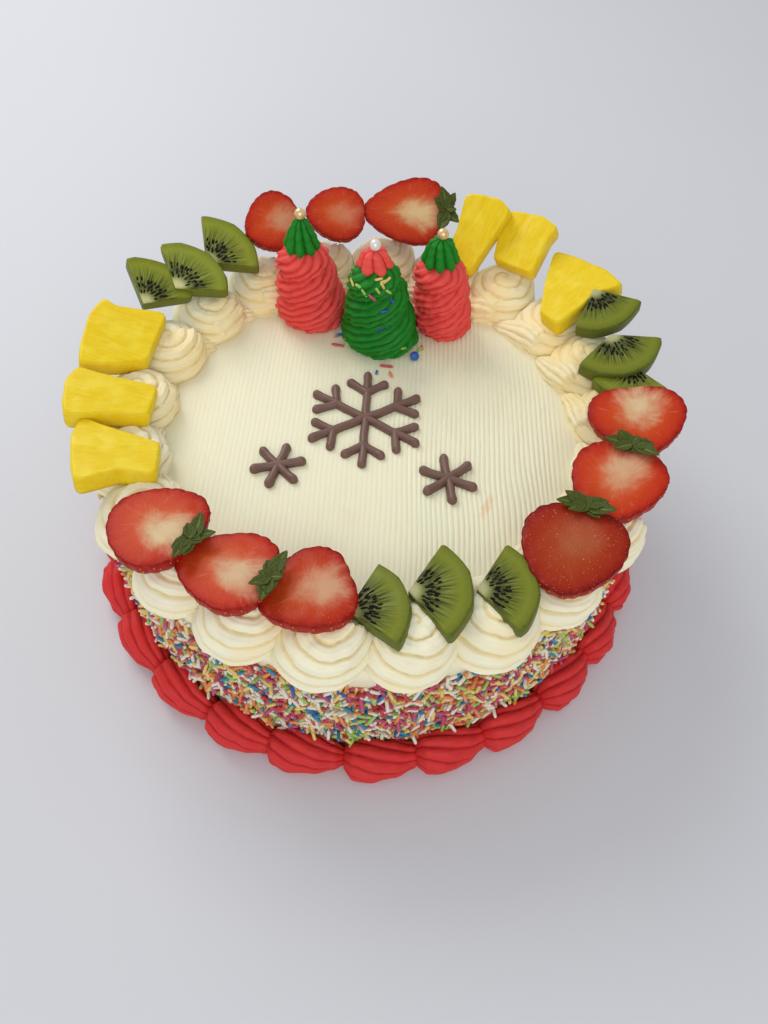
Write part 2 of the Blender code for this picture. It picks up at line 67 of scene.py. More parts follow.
# Faint arcs that the knife left: their middle, radii, direction, sweep, width and depth
KNIFE_PLACE = (-0.070, 0.085)
KNIFE_ARCS = (0.0330, 0.0362, 0.0405)
KNIFE_TURN = radians(-62)
KNIFE_SWEEP = 0.30
KNIFE_WIDTH = 0.0006
KNIFE_DEPTH = 0.00022
SMEAR_PLACE = (0.052, -0.040)
SMEAR_SIZE = (0.0025, 0.0070)

# Swirls
SWIRL_COUNT = 21
SWIRL_FIRST = radians(-132.0)
SWIRL_CIRCLE = 0.1095
SWIRL_RADIUS = 0.0187
SWIRL_HEIGHT = 0.0165
SWIRL_RIDGES = 5.2
SWIRL_RIDGE_DEPTH = 0.0021
SWIRL_STRAND_DEPTH = 0.00045
SWIRL_LUMPS = 0.0007
# Rise of the loose end of a swirl's lowest turn, and how far its top leans
SWIRL_END_LIFT = 0.0022
SWIRL_LEAN = 0.0042
SWIRL_RINGS = 72
SWIRL_AROUND = 60

# Ropes of cream that join the swirls, and how full one is along its length, as share and width
ROPE_FULLNESS = ((0.0, 0.0), (0.12, 0.85), (0.35, 1.0), (0.75, 0.66), (0.95, 0.32), (1.0, 0.0))
ROPE_CIRCLE = 0.0990
ROPE_RADIUS = 0.0078
ROPE_HEIGHTS = (0.0050, 0.0066)
ROPE_LUMPS = 0.0005
ROPE_FLUTES = 11
ROPE_RINGS = 36
ROPE_AROUND = 66

# Shell border, and how full a shell is along its length, as share and width
SHELL_FULLNESS = ((0.0, 0.0), (0.04, 0.58), (0.14, 0.90), (0.34, 1.0), (0.60, 0.86), (0.82, 0.58),
                  (0.95, 0.34), (1.0, 0.0))
SHELL_COUNT = 25
SHELL_FIRST = radians(-164.0)
SHELL_MIDDLE = 0.1286
SHELL_REACH = 0.0090
SHELL_RISE = 0.0120
SHELL_AXIS_HEIGHT = 0.0085
SHELL_RIDGES = 9
SHELL_RIDGE_DEPTH = 0.0022
SHELL_STRAND_DEPTH = 0.0003
SHELL_LUMPS = 0.0005
SHELL_TAPER = 0.0028
SHELL_RINGS = 34
SHELL_AROUND = 76

# Fruit: angle round the cake, circle radius, height, heading, lean and roll in degrees, sizes
STRAWBERRIES = (
    # length, width, taper; strength of the pale core; its yellow share or, below 0, darker flesh
    (-138.8, 0.1077, 0.1010, 110, 4, 5, 0.0390, 0.0405, 0.22, 1.00, 0.15),
    (-120.0, 0.1025, 0.1000, 103, 3, 6, 0.0415, 0.0350, 0.32, 0.90, 0.05),
    (-101.5, 0.0985, 0.0995, 124, 3, 6, 0.0380, 0.0355, 0.34, 0.62, -0.12),
    (-43.0, 0.1098, 0.1035, 112, 5, 6, 0.0420, 0.0400, 0.25, 0.08, -0.37),
    (-23.0, 0.1095, 0.1045, 86, 8, 6, 0.0410, 0.0370, 0.30, 0.75, 0.05),
    (-4.0, 0.1150, 0.1050, 95, 8, 5, 0.0370, 0.0400, 0.28, 1.00, 0.15),
    (84.5, 0.1200, 0.1130, -84, 34, 0, 0.0445, 0.0325, 0.36, 0.80, 0.55),
    (101.5, 0.1180, 0.1125, -98, 30, 0, 0.0310, 0.0275, 0.18, 0.30, 0.00),
    (117.0, 0.1185, 0.1125, -78, 30, 4, 0.0315, 0.0305, 0.26, 0.50, 0.10),
)
KIWIS = (
    # radius, opening; how much lighter its flesh is painted, painted light that stands for more light on it
    (-86.5, 0.1010, 0.0985, 100, 2, 6, 0.0240, 98, 0.0),
    (-72.7, 0.0980, 0.0995, 76, 2, 7, 0.0250, 110, 0.0),
    (-59.0, 0.1060, 0.0990, 64, 3, 6, 0.0240, 108, 0.0),
    (10.2, 0.1185, 0.0990, -112, 6, 2, 0.0205, 112, 0.28),
    (17.2, 0.1185, 0.1030, -86, 6, 6, 0.0240, 128, 0.0),
    (29.4, 0.1225, 0.1080, -99, 16, 8, 0.0235, 94, 0.0),
    (131.3, 0.1175, 0.1090, -76, 22, -6, 0.0260, 98, 0.28),
    (142.4, 0.1145, 0.1085, -80, 18, -8, 0.0255, 108, 0.28),
    (150.6, 0.1215, 0.1075, -76, 26, -6, 0.0245, 94, 0.28),
)
PINEAPPLES = (
    # length, inner width, outer width, skew
    (39.0, 0.1175, 0.1055, 8, 16, -4, 0.0400, 0.0120, 0.0430, 0.004),
    (56.0, 0.1235, 0.1115, 6, 32, -4, 0.0300, 0.0220, 0.0310, 0.002),
    (66.4, 0.1150, 0.1120, -4, 40, -4, 0.0400, 0.0160, 0.0250, -0.002),
    (166.8, 0.1185, 0.1050, 10, 16, -4, 0.0330, 0.0290, 0.0390, 0.006),
    (-176.4, 0.1130, 0.1035, 0, 12, 2, 0.0390, 0.0180, 0.0290, 0.000),
    (-161.5, 0.1100, 0.1020, -8, 10, 4, 0.0365, 0.0180, 0.0380, -0.006),
)
BERRY_DEPTH = 0.0125
BERRY_RINGS = 44
BERRY_AROUND = 128
# Rings of the skin that carry seeds, and a seed's length, width and thickness
BERRY_SEED_RINGS = (6, 9, 12, 15, 18, 20)
BERRY_SEED = (0.0013, 0.0008, 0.0005)
KIWI_THICKNESS = 0.0075
# How far the point of a kiwi slice lies behind its middle, as a share of its radius
KIWI_APEX = 0.45
# Angle of the flats left where its peel was cut off
KIWI_FACET = radians(34)
# Rows of kiwi seeds as shares of the radius, their lengths, and a seed's width and thickness
KIWI_SEED_ROWS = (0.28, 0.35, 0.42, 0.49)
KIWI_SEED_LENGTHS = (0.0020, 0.0032)
KIWI_SEED = (0.0011, 0.0006)
PINEAPPLE_THICKNESS = 0.0095
PINEAPPLE_BOW = 0.0035
# Length over which the pattern of a pineapple wedge is measured
PINEAPPLE_UNIT = 0.02
SLICE_RINGS = 40
SLICE_AROUND = 96
SLICE_EDGE = 4
# Farther than the edge of any slice
FAR = 1.0
# Steps in the noise from one fruit to the next, so that each has its own lumps
BERRY_NOISE_STEP = 3.7
KIWI_NOISE_STEP = 2.3
PINEAPPLE_NOISE_STEP = 4.1

# Leaves left on the berries: heading from straight along the berry in degrees, length, half width
CALYXES = (1, 2, 4, 5, 7)
LEAVES = ((94, 0.0118, 0.0029), (66, 0.0092, 0.0026), (122, 0.0080, 0.0024), (-92, 0.0118, 0.0029),
          (-64, 0.0092, 0.0026), (-120, 0.0082, 0.0024), (8, 0.0050, 0.0020), (168, 0.0050, 0.0020))
LEAF_THICKNESS = 0.0003
# How far inside the berry's end the leaves start, and how far above its cut face
LEAF_INSET = 0.0015
LEAF_LIFT = 0.0011

# Trees: name, place, foot radius, radius under the cap, height, lean to the left at the top
TREES = (
    ("tree_left", (-0.0330, 0.0762), 0.0172, 0.0108, 0.0385, 0.0038),
    ("tree_middle", (0.0017, 0.0610), 0.0183, 0.0100, 0.0420, 0.0035),
    ("tree_right", (0.0326, 0.0718), 0.0138, 0.0110, 0.0375, 0.0040),
)
# Caps in the order of the trees: radius, height, pinch of the tip, flutes
CAPS = ((0.0088, 0.0150, 0.52, 8), (0.0086, 0.0080, 0.30, 6), (0.0092, 0.0120, 0.35, 8))
# Slots of each tree's cream, its cap and its pearl
OUTER_SLOTS = ("red_cream", "green_cream", "gold_pearl")
TREE_SLOTS = (OUTER_SLOTS, ("green_cream", "red_cream", "white_pearl"), OUTER_SLOTS)
TREE_NOISE_STEP = 5.3
TREE_TIERS = 3
TREE_TIER_DEPTH = 0.0028
TREE_RIDGE_PITCH = 0.0034
TREE_RIDGE_DEPTH = 0.0019
TREE_LUMPS = 0.0009
TREE_STARTS = 11
TREE_RINGS = 112
TREE_AROUND = 112
# Rise of the tree's cream into the hollow under its cap
CROWN_RISE = 0.0016
CAP_CLEARANCE = 0.0015
CAP_RINGS = 34
CAP_TONGUE = 0.0016
PEARL_RADIUS = 0.0027
PEARL_CLEARANCE = 0.0003

# Piped chocolate: name, place, reach of an arm, turn in degrees, branched or plain
FLAKES = (
    ("chocolate_snowflake", (-0.003, 0.006), 0.0270, 90, True),
    ("chocolate_star_left", (-0.0400, -0.0240), 0.0105, 75, False),
    ("chocolate_star_right", (0.0350, -0.0270), 0.0115, 100, False),
)
CHOCOLATE_WIDTH = 0.0042
CHOCOLATE_HEIGHT = 0.0030
CHOCOLATE_SUNK = 0.0003
STROKE_RINGS = 44
STROKE_AROUND = 20

# Sugar sprinkles: colour name, linear colour, share of the whole
SUGARS = (
    ("white", (0.90, 0.85, 0.68), 0.30),
    ("pink", (0.56, 0.036, 0.13), 0.15),
    ("red", (0.60, 0.028, 0.035), 0.08),
    ("orange", (0.86, 0.27, 0.050), 0.14),
    ("yellow", (0.88, 0.66, 0.16), 0.13),
    ("green", (0.36, 0.60, 0.10), 0.11),
    ("teal", (0.008, 0.22, 0.38), 0.075),
    ("blue", (0.003, 0.100, 0.43), 0.015),
)
SPRINKLE_RADIUS = 0.00082
SPRINKLE_LENGTHS = (0.0036, 0.0064)
# Width and place along its length of each of a sprinkle's rings
SPRINKLE_LEVELS = ((0.0, 0.0), (0.72, 0.06), (1.0, 0.20), (1.0, 0.80), (0.72, 0.94), (0.0, 1.0))
SPRINKLES_ON_SIDE = 9000
SPRINKLE_TRIES = 7 * SPRINKLES_ON_SIDE
SPRINKLE_SPACING = 0.0017
# Share that lies against the cream, how far the others stand off it, and how much each kind tilts
INNER_SHARE = 0.68
OUTER_DEPTH = 0.0012
INNER_TILT = 0.22
OUTER_TILT = 0.48
SPRINKLE_DEPTHS = (0.0002, 0.0007)
# How often a sprinkle has the colour that its small patch of the side has most of
PATCH_SHARE = 0.28
PATCH_SIZE = 0.009
# Share of extra long ones, and how much longer they are
LONG_SHARE = 0.025
LONG = 1.6
# Heights between which they lie, and the line below the swirls with how far it swings
SPRINKLE_HEIGHTS = (0.0150, 0.0775)
SPRINKLE_LINE = 0.0728
SPRINKLE_LINE_SWING = 0.0070
# Sprinkles on the middle tree: angle round it in degrees, share of its height, colour
TREE_SPRINKLES = (
    (-62, 0.965, "yellow"), (-70, 0.945, "yellow"), (-54, 0.950, "yellow"), (-76, 0.975, "yellow"),
    (-60, 0.90, "green"), (-82, 0.92, "green"), (-112, 0.88, "green"), (-128, 0.92, "green"),
    (-150, 0.90, "yellow"), (-72, 0.66, "blue"), (-52, 0.74, "blue"), (-84, 0.42, "blue"),
    (-70, 0.44, "blue"), (-150, 0.10, "green"), (-45, 0.10, "green"), (-95, 0.84, "pink"),
    (20, 0.60, "yellow"), (80, 0.45, "green"), (140, 0.70, "yellow"), (100, 0.80, "blue"),
)
TREE_SPRINKLE_RADIUS = 0.0007
TREE_SPRINKLE_LENGTHS = (0.0036, 0.0054)
# Loose ones on the cream: place, heading in degrees, length, colour
LOOSE_SPRINKLES = (
    ((-0.0190, 0.0535), -8, 0.0068, "red"), ((0.0055, 0.0405), -4, 0.0068, "red"),
    ((-0.0205, 0.0600), 60, 0.0030, "orange"), ((-0.0185, 0.0610), 20, 0.0042, "blue"),
    ((0.0010, 0.0360), 80, 0.0026, "blue"), ((0.0078, 0.0350), -70, 0.0040, "orange"),
    ((0.0215, 0.0530), 60, 0.0036, "green"), ((0.0228, 0.0545), 100, 0.0030, "orange"),
)
LOOSE_HEIGHT = COMB_CREST + 0.0006
SUGAR_BALL = (0.0190, 0.0470, COMB_CREST + 0.0018)
SUGAR_BALL_RADIUS = 0.0023

# Floor, light and camera; a lamp has a name, a place, a width and a power
SKY_COLOUR = (0.93, 0.95, 1.0)
SKY_STRENGTH = 0.62
LAMPS = (("window", (-0.60, 0.75, 0.95), 0.7, 7.5), ("room", (0.10, -1.15, 0.85), 1.0, 6.2))
FLOOR_SIZE = 6.0
CAMERA_PLACE = (0.0077, -0.2500, 0.3681)
CAMERA_PITCH = radians(54.67)
CAMERA_ROLL = radians(2.71)
CAMERA_LENS = 29.1
CAMERA_SENSOR = 36.0
CAMERA_NEAR = 0.01

# Sockets of a Mix node that mixes colours
MIX_FIRST = 6
MIX_SECOND = 7
MIX_RESULT = 2


# Shader maths written as sums

class Wire:
    """A shader socket that can stand in a sum."""

    def __init__(self, paint, socket):
        self.paint = paint
        self.socket = socket

    def __add__(self, other):
        return self.paint.maths("ADD", self, other)

    def __radd__(self, other):
        return self.paint.maths("ADD", other, self)

    def __sub__(self, other):
        return self.paint.maths("SUBTRACT", self, other)

    def __rsub__(self, other):
        return self.paint.maths("SUBTRACT", other, self)

    def __mul__(self, other):
        return self.paint.maths("MULTIPLY", self, other)

    def __rmul__(self, other):
        return self.paint.maths("MULTIPLY", other, self)

    def __truediv__(self, other):
        return self.paint.maths("DIVIDE", self, other)


class Paint:
    """A material with its Principled shader, and the nodes that feed it."""

    def __init__(self, name, **values):
        self.material = bpy.data.materials.new(name)
        self.material.use_nodes = True
        self.tree = self.material.node_tree
        self.shader = self.tree.nodes["Principled BSDF"]
        for key, value in values.items():
            self.shader.inputs[key.replace("_", " ")].default_value = value

    def feed(self, socket, value):
        if isinstance(value, Wire):
            self.tree.links.new(value.socket, socket)
        else:
            socket.default_value = value

    def node(self, kind, settings, values, out=0):
        """Any node: its type, its settings, and the values or links of its sockets."""
        made = self.tree.nodes.new(kind)
        stops = settings.pop("stops", None)
        for key, value in settings.items():
            setattr(made, key, value)
        if stops:
            ramp = made.color_ramp.elements
            while len(ramp) < len(stops):
                ramp.new(1.0)
            for element, (place, colour) in zip(ramp, stops):
                element.position = place
                element.color = (*colour, 1.0)
        for key, value in values.items():
            self.feed(made.inputs[key], value)
        return Wire(self, made.outputs[out])

    def maths(self, operation, first, second=0.0):
        return self.node("ShaderNodeMath", {"operation": operation}, {0: first, 1: second})

    def between(self, value, low, high):
        """0 below low, 1 above high, smooth between."""
        return self.node("ShaderNodeMapRange", {"interpolation_type": "SMOOTHSTEP"},
                         {"Value": value, "From Min": low, "From Max": high})

    def mix(self, factor, first, second):
        """Two colours mixed; each is a wire or a linear colour."""
        values = {0: factor}
        for key, colour in ((MIX_FIRST, first), (MIX_SECOND, second)):
            values[key] = colour if isinstance(colour, Wire) else (*colour, 1.0)
        return self.node("ShaderNodeMix", {"data_type": "RGBA", "clamp_factor": True}, values, MIX_RESULT)

    def scaled(self, colour, factor):
        return self.node("ShaderNodeVectorMath", {"operation": "SCALE"}, {0: colour, "Scale": factor})

    def ramp(self, value, stops):
        return self.node("ShaderNodeValToRGB", {"stops": stops}, {"Fac": value})

    def place(self):
        return self.node("ShaderNodeTexCoord", {}, {}, "Object")

    def parts(self, vector):
        return [self.node("ShaderNodeSeparateXYZ", {}, {0: vector}, axis) for axis in "XYZ"]

    def held(self, name):
        """The three numbers that an attribute of the piece holds."""
        return self.parts(self.node("ShaderNodeAttribute", {"attribute_name": name}, {}, "Vector"))

    def vector(self, x, y, z):
        return self.node("ShaderNodeCombineXYZ", {}, {0: x, 1: y, 2: z})

    def noise(self, where, scale, detail=3.0, roughness=0.55):
        return self.node("ShaderNodeTexNoise", {},
                         {"Vector": where, "Scale": scale, "Detail": detail, "Roughness": roughness})

    def far(self, x, y):
        """Distance from the middle of a slice."""
        return self.maths("SQRT", x * x + y * y)

    def rays(self, x, y, reach, spread, out, *kind):
        """Streaks that run outward from the middle of a slice."""
        return self.noise(self.vector(x / reach * spread, y / reach * spread, out), *kind)

    def bump(self, height, strength, distance):
        return self.node("ShaderNodeBump", {},
                         {"Height": height, "Strength": strength, "Distance": distance})

    def finish(self, colour, roughness, normal=None, coat=None):
        for key, value in (("Base Color", colour), ("Roughness", roughness),
                           ("Normal", normal), ("Coat Weight", coat)):
            if value is not None:
                self.feed(self.shader.inputs[key], value)
        return self.material


def cream_paint(name, light, deep, warm, roughness=0.5):
    """Whipped cream: its light colour on the ridges and a darker, yellower painted shade in the creases,
    with warm buttery patches and a painted warm light where the spot attribute's third value is high.
    """
    paint = Paint(name, Subsurface_Weight=0.12, Subsurface_Scale=0.002, Specular_IOR_Level=0.16)
    where = paint.place()
    fold, _, painted_warm_light = paint.held("spot")
    patches = paint.between(paint.noise(where, 38.0, 2.0), 0.50, 0.72)
    streaks = paint.noise(where, 420.0, 2.0)
    # Painted shade: where the fold value is low, in the creases, the colour goes to the darker deep colour.
    ridge = paint.between(fold + (streaks - 0.5) * 0.2, 0.0, 0.55)
    colour = paint.mix(ridge, deep, light)
    # Painted warm light: the spot's third value tints the cream warm on the swirls' inner sides and towards
    # the back, added to the real buttery patches.
    colour = paint.mix(patches * 0.45 + painted_warm_light, colour, warm)
    grain = paint.noise(where, 1500.0)
    return paint.finish(colour, 0.08 * streaks + roughness, paint.bump(grain, 0.12, 0.0004))


def red_cream(name, lift):
    """Red butter cream; lift lightens a copy for the trees, a painted lit copy that stands for more light
    on the trees than on the lower border.
    """
    return cream_paint(name, (0.66 + lift, 0.036 + lift / 3, 0.034 + lift / 4), (0.42 + lift, 0.009, 0.012),
                       (0.58 + lift, 0.024 + lift / 3, 0.022 + lift / 4), 0.45)


def comb_paint():
    """Cream drawn with a comb, with painted shade in its grooves and knife arcs, faint knife smears,
    buttery stains and a few specks.
    """
    paint = Paint("combed_cream", Subsurface_Weight=0.12, Subsurface_Scale=0.002, Specular_IOR_Level=0.3)
    where = paint.place()
    x, y, z = paint.parts(where)
    fold = paint.held("spot")[0]
    drawn = paint.noise(paint.vector(x * 9.0, y * 1.2, z), 60.0)
    # Painted shade: the grooves and knife arcs, where the fold value is low, are painted darker.
    colour = paint.mix(paint.between(fold, 0.0, 0.6), (0.74, 0.67, 0.45), (0.87, 0.81, 0.58))
    colour = paint.mix(paint.between(drawn, 0.48, 0.78) * 0.5, colour, (0.84, 0.75, 0.49))
    stain = paint.between(paint.noise(where, 26.0), 0.66, 0.76)
    colour = paint.mix(stain * 0.35, colour, (0.78, 0.55, 0.31))
    smear_x = (x - SMEAR_PLACE[0] - (y - SMEAR_PLACE[1]) * 0.3) / SMEAR_SIZE[0]
    smear_y = (y - SMEAR_PLACE[1]) / SMEAR_SIZE[1]
    smear = smear_x * smear_x + smear_y * smear_y + paint.noise(where, 200.0) * 1.6 - 0.8
    colour = paint.mix((1.0 - paint.between(smear, 0.1, 1.2)) * 0.5, colour, (0.80, 0.50, 0.27))
    specks = paint.between(paint.noise(where, 700.0, 1.0), 0.80, 0.83)
    colour = paint.mix(specks * 0.5, colour, (0.30, 0.20, 0.10))
    grain = paint.noise(where, 1100.0)
    return paint.finish(colour, 0.1 * grain + 0.42, paint.bump(grain, 0.10, 0.0004))


def strawberry_paint():
    """Cut strawberry: a pale streaky core, orange red flesh, a red rim, painted glints on the cut face and
    dark shining skin.
    """
    paint = Paint("cut_strawberry", Subsurface_Weight=0.10, Subsurface_Scale=0.002,
                  Coat_Roughness=0.15, Specular_IOR_Level=0.09)
    x, y, z = paint.held("spot")
    core, yellow, seed = paint.held("kind")
    where = paint.vector(x, y, z + seed)
    reach = paint.far(x, y)
    rays = paint.rays(x, y, reach + 0.05, 5.0, reach * 0.9 + seed, 2.2, 4.0, 0.65)
    cloud = paint.noise(paint.vector(x, y, seed), 2.6)
    away = paint.far((x - 0.34) / 0.74, (y + 0.06) / 0.54)
    pale = 1.0 - paint.between(away + (rays - 0.5) * 0.6 + (cloud - 0.5) * 1.1, 0.10, 1.08)
    flesh = paint.ramp(reach + (rays - 0.5) * 0.30 + (cloud - 0.5) * 0.15, (
        (0.00, (0.60, 0.115, 0.028)), (0.50, (0.57, 0.060, 0.010)),
        (0.84, (0.50, 0.030, 0.006)), (0.97, (0.36, 0.012, 0.005)), (1.00, (0.27, 0.008, 0.004))))
    streaks = paint.between(rays, 0.54, 0.74) * (1.0 - paint.between(reach, 0.70, 0.95))
    flesh = paint.mix(streaks * 0.30, flesh, (0.72, 0.26, 0.13))
    flesh = paint.scaled(flesh, 1.0 + paint.maths("MINIMUM", yellow, 0.0))
    heart = paint.mix(yellow, (0.64, 0.45, 0.26), (0.78, 0.68, 0.30))
    face = paint.mix(pale * core, flesh, heart)
    # Painted glints: light specks on the cut face, fewer where the core is strong.
    painted_glint = paint.between(paint.noise(where, 34.0, 1.0), 0.71, 0.77)
    face = paint.mix(painted_glint * (0.65 - 0.45 * core), face, (0.86, 0.58, 0.46))
    skin = paint.mix(paint.noise(paint.vector(x, y, z), 6.0), (0.29, 0.006, 0.006), (0.45, 0.016, 0.010))
    colour = paint.mix(paint.between(z, -0.10, -0.02), skin, face)
    grain = paint.noise(where, 26.0, 4.0)
    return paint.finish(colour, 0.30 * grain + 0.26, paint.bump(grain + rays * 0.8, 0.35, 0.0006), 0.06)


def kiwi_paint():
    """Cut kiwi: a pale heart, dark rays where the seeds lie, green flesh, a deeper rim."""
    paint = Paint("cut_kiwi", Subsurface_Weight=0.15, Subsurface_Scale=0.003, Coat_Roughness=0.1,
                  Specular_IOR_Level=0.15)
    x, y, z = paint.held("spot")
    pale, _, seed = paint.held("kind")
    reach = paint.far(x, y)
    rays = paint.rays(x, y, reach + 0.02, 15.0, reach * 1.2 + seed, 1.6, 3.0, 0.6)
    flesh = paint.ramp(reach + (rays - 0.5) * 0.10, (
        (0.00, (0.50, 0.46, 0.25)), (0.14, (0.42, 0.41, 0.19)), (0.24, (0.15, 0.17, 0.040)),
        (0.36, (0.052, 0.062, 0.008)), (0.58, (0.125, 0.148, 0.012)), (0.82, (0.185, 0.212, 0.015)),
        (0.95, (0.140, 0.162, 0.011)), (1.00, (0.080, 0.094, 0.008))))
    lit = paint.between(rays, 0.50, 0.70) * paint.between(reach, 0.14, 0.34)
    lit = lit * (1.0 - paint.between(reach, 0.5, 0.90))
    colour = paint.mix(lit * 0.50, flesh, (0.32, 0.34, 0.09))
    dark = (1.0 - paint.between(rays, 0.38, 0.50)) * paint.between(reach, 0.20, 0.30)
    dark = dark * (1.0 - paint.between(reach, 0.50, 0.82))
    colour = paint.mix(dark * 0.85, colour, (0.012, 0.014, 0.006))
    colour = paint.mix(paint.between(z, -0.16, -0.04), (0.115, 0.138, 0.014), colour)
    # Painted light: the kind attribute's first value paints some slices lighter.
    colour = paint.scaled(colour, 1.0 + pale)
    grain = paint.noise(paint.vector(x, y, z + seed), 30.0)
    return paint.finish(colour, 0.25 * grain + 0.32, paint.bump(grain + rays, 0.35, 0.0005), 0.08)


def pineapple_paint():
    """Cut pineapple: clear yellow with fibres that run along the wedge."""
    paint = Paint("cut_pineapple", Subsurface_Weight=0.30, Subsurface_Scale=0.004, Coat_Roughness=0.15,
                  Subsurface_Radius=(1.0, 0.7, 0.1), Specular_IOR_Level=0.14)
    x, y, z = paint.held("spot")
    seed = paint.held("kind")[2]
    where = paint.vector(x, y, z + seed)
    fibres = paint.noise(paint.vector(x * 1.2, y * 11.0, z * 5.0 + seed), 2.4, 4.0, 0.6)
    colour = paint.mix(paint.between(fibres, 0.35, 0.68), (0.80, 0.555, 0.008), (0.84, 0.630, 0.016))
    cloud = paint.between(paint.noise(where, 2.2, 2.0), 0.45, 0.70)
    colour = paint.mix(cloud * 0.6, colour, (0.87, 0.70, 0.055))
    specks = paint.between(paint.noise(where, 22.0, 1.0), 0.80, 0.84)
    colour = paint.mix(specks * 0.6, colour, (0.45, 0.22, 0.03))
    return paint.finish(colour, 0.25 * fibres + 0.30, paint.bump(fibres, 0.22, 0.0005), 0.08)


def leaf_paint():
    paint = Paint("berry_leaf_green", Specular_IOR_Level=0.2)
    x, y, z = paint.held("spot")
    rib = paint.between(paint.maths("ABSOLUTE", y), 0.02, 0.20)
    veins = paint.noise(paint.vector(x * 6.0, y * 3.0, z), 3.0)
    colour = paint.mix(paint.between(veins, 0.35, 0.7), (0.032, 0.048, 0.006), (0.105, 0.130, 0.014))
    colour = paint.mix(rib, (0.15, 0.18, 0.030), colour)
    return paint.finish(colour, 0.2 * veins + 0.38, paint.bump(veins, 0.4, 0.0004))


def seed_paint(name, light, dark, roughness):
    paint = Paint(name, Specular_IOR_Level=0.15)
    tone = paint.noise(paint.place(), 900.0, 2.0)
    return paint.finish(paint.mix(tone, dark, light), 0.2 * tone + roughness)


def chocolate_paint():
    paint = Paint("milk_chocolate_piping", Subsurface_Weight=0.03, Subsurface_Scale=0.001)
    where = paint.place()
    tone = paint.noise(where, 140.0)
    colour = paint.mix(tone, (0.125, 0.062, 0.045), (0.205, 0.108, 0.080))
    return paint.finish(colour, 0.2 * tone + 0.35, paint.bump(paint.noise(where, 900.0), 0.15, 0.0004))


def sugar_paint(name, colour):
    """Hard sugar: one colour, a little paler where it is rubbed."""
    paint = Paint(name)
    where = paint.place()
    tone = paint.between(paint.noise(where, 330.0, 2.0), 0.3, 0.75)
    pale = tuple(0.80 * part + 0.16 for part in colour)
    deep = tuple(0.86 * part for part in colour)
    grain = paint.noise(where, 2400.0, 2.0)
    return paint.finish(paint.mix(tone * 0.45, deep, pale), 0.2 * grain + 0.34,
                        paint.bump(grain, 0.15, 0.0002))


def pearl_paint(name, light, dark, metallic):
    paint = Paint(name, Metallic=metallic, Coat_Roughness=0.08)
    tone = paint.noise(paint.place(), 260.0, 2.0)
    return paint.finish(paint.mix(tone, dark, light), 0.12 * tone + 0.18, coat=0.6)


def floor_paint():
    paint = Paint("pale_table")
    tone = paint.noise(paint.place(), 3.0)
    return paint.finish(paint.mix(tone, (0.60, 0.605, 0.625), (0.64, 0.645, 0.665)), 0.1 * tone + 0.55)


# Making meshes

def polar(angle, radius, height=0.0):
    return Vector((radius * cos(angle), radius * sin(angle), height))


def smooth(value):
    value = max(0.0, min(1.0, value))
    return value * value * (3.0 - 2.0 * value)


def along(stops, share):
    """Reads a smooth curve through stops of (share, value)."""
    for (low, first), (high, second) in zip(stops, stops[1:]):
        if share <= high:
            return first + (second - first) * smooth((share - low) / (high - low))
    return stops[-1][1]


def ripple(point, size, seed=0.0):
    """Even noise of about -1 to 1, with lumps of the given size."""
    return noise.noise(Vector(point) / size + Vector((seed, 0.0, 0.0)))


def round_ripple(turn, rise, size, seed):
    """The same round a body, with no seam where the turn starts again."""
    return ripple((cos(turn), sin(turn), rise), size, seed)


def finished(bm, name):
    mesh = bpy.data.meshes.new(name)
    bm.to_mesh(mesh)
    bm.free()
    return mesh


def put(name, data):
    made = bpy.data.objects.new(name, data)
    bpy.context.scene.collection.objects.link(made)
    return made


def bags(around, rings, *shapes):
    """A ball for each shape, whose points shape(turn, ring) moves: ring 0 is its lower pole, the last
    its upper. The shape gives a point and what the point's spot attribute holds. A shape that turns the
    ball inside out has its faces turned back."""
    bm = bmesh.new()
    bm.verts.layers.float_vector.new("spot")
    bmesh.ops.create_uvsphere(bm, u_segments=around, v_segments=rings, radius=1.0)
    ball = finished(bm, "ball")
    together = bmesh.new()
    for shape in shapes:
        bm = bmesh.new()
        bm.from_mesh(ball)
        spot = bm.verts.layers.float_vector["spot"]
        for vertex in bm.verts:
            turn = atan2(vertex.co.y, vertex.co.x) % tau
            ring = round(acos(max(-1.0, min(1.0, -vertex.co.z))) / pi * rings)
            vertex.co, vertex[spot] = shape(turn, ring)
        if bm.calc_volume(signed=True) < 0.0:
            bmesh.ops.reverse_faces(bm, faces=bm.faces)
        mesh = finished(bm, "bag")
        together.from_mesh(mesh)
        bpy.data.meshes.remove(mesh)
    bpy.data.meshes.remove(ball)
    return together


def piece(name, bm, paint, slot, *nodes):
    """Makes a finished piece that rides on the cake and stands for the named solids."""
    mesh = finished(bm, name)
    mesh.shade_smooth()
    mesh.materials.append(paint)
    made = put(name, mesh)
    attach(made, "root")
    if nodes:
        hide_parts(*nodes)


# Cake with combed top

def cream_coat():
    """The cream coat from the middle of its underside round the wall to the middle of its top."""
    levels = [(0.0, 0.0), (CAKE_RADIUS - FOOT_ROUNDING, 0.0), (CAKE_RADIUS, FOOT_ROUNDING)]
    wall = range(len(levels), len(levels) + WALL_ROWS)
    for row in range(1, WALL_ROWS + 1):
        levels.append((CAKE_RADIUS, row / WALL_ROWS * (CAKE_HEIGHT - EDGE_ROUNDING)))
    for row in range(1, EDGE_ROWS + 1):
        bend = row / EDGE_ROWS * pi / 2
        levels.append((CAKE_RADIUS - EDGE_ROUNDING * (1.0 - cos(bend)),
                       CAKE_HEIGHT - EDGE_ROUNDING * (1.0 - sin(bend))))
    levels.append((0.0, CAKE_HEIGHT))

    def shape(turn, ring):
        point = polar(turn, *levels[ring])
        if ring in wall:
            point += polar(turn, WALL_LUMPS * ripple(point, 0.012))
        return point, Vector((1.0, 0.0, 0.0))

    return bags(COAT_AROUND, len(levels) - 1, shape)


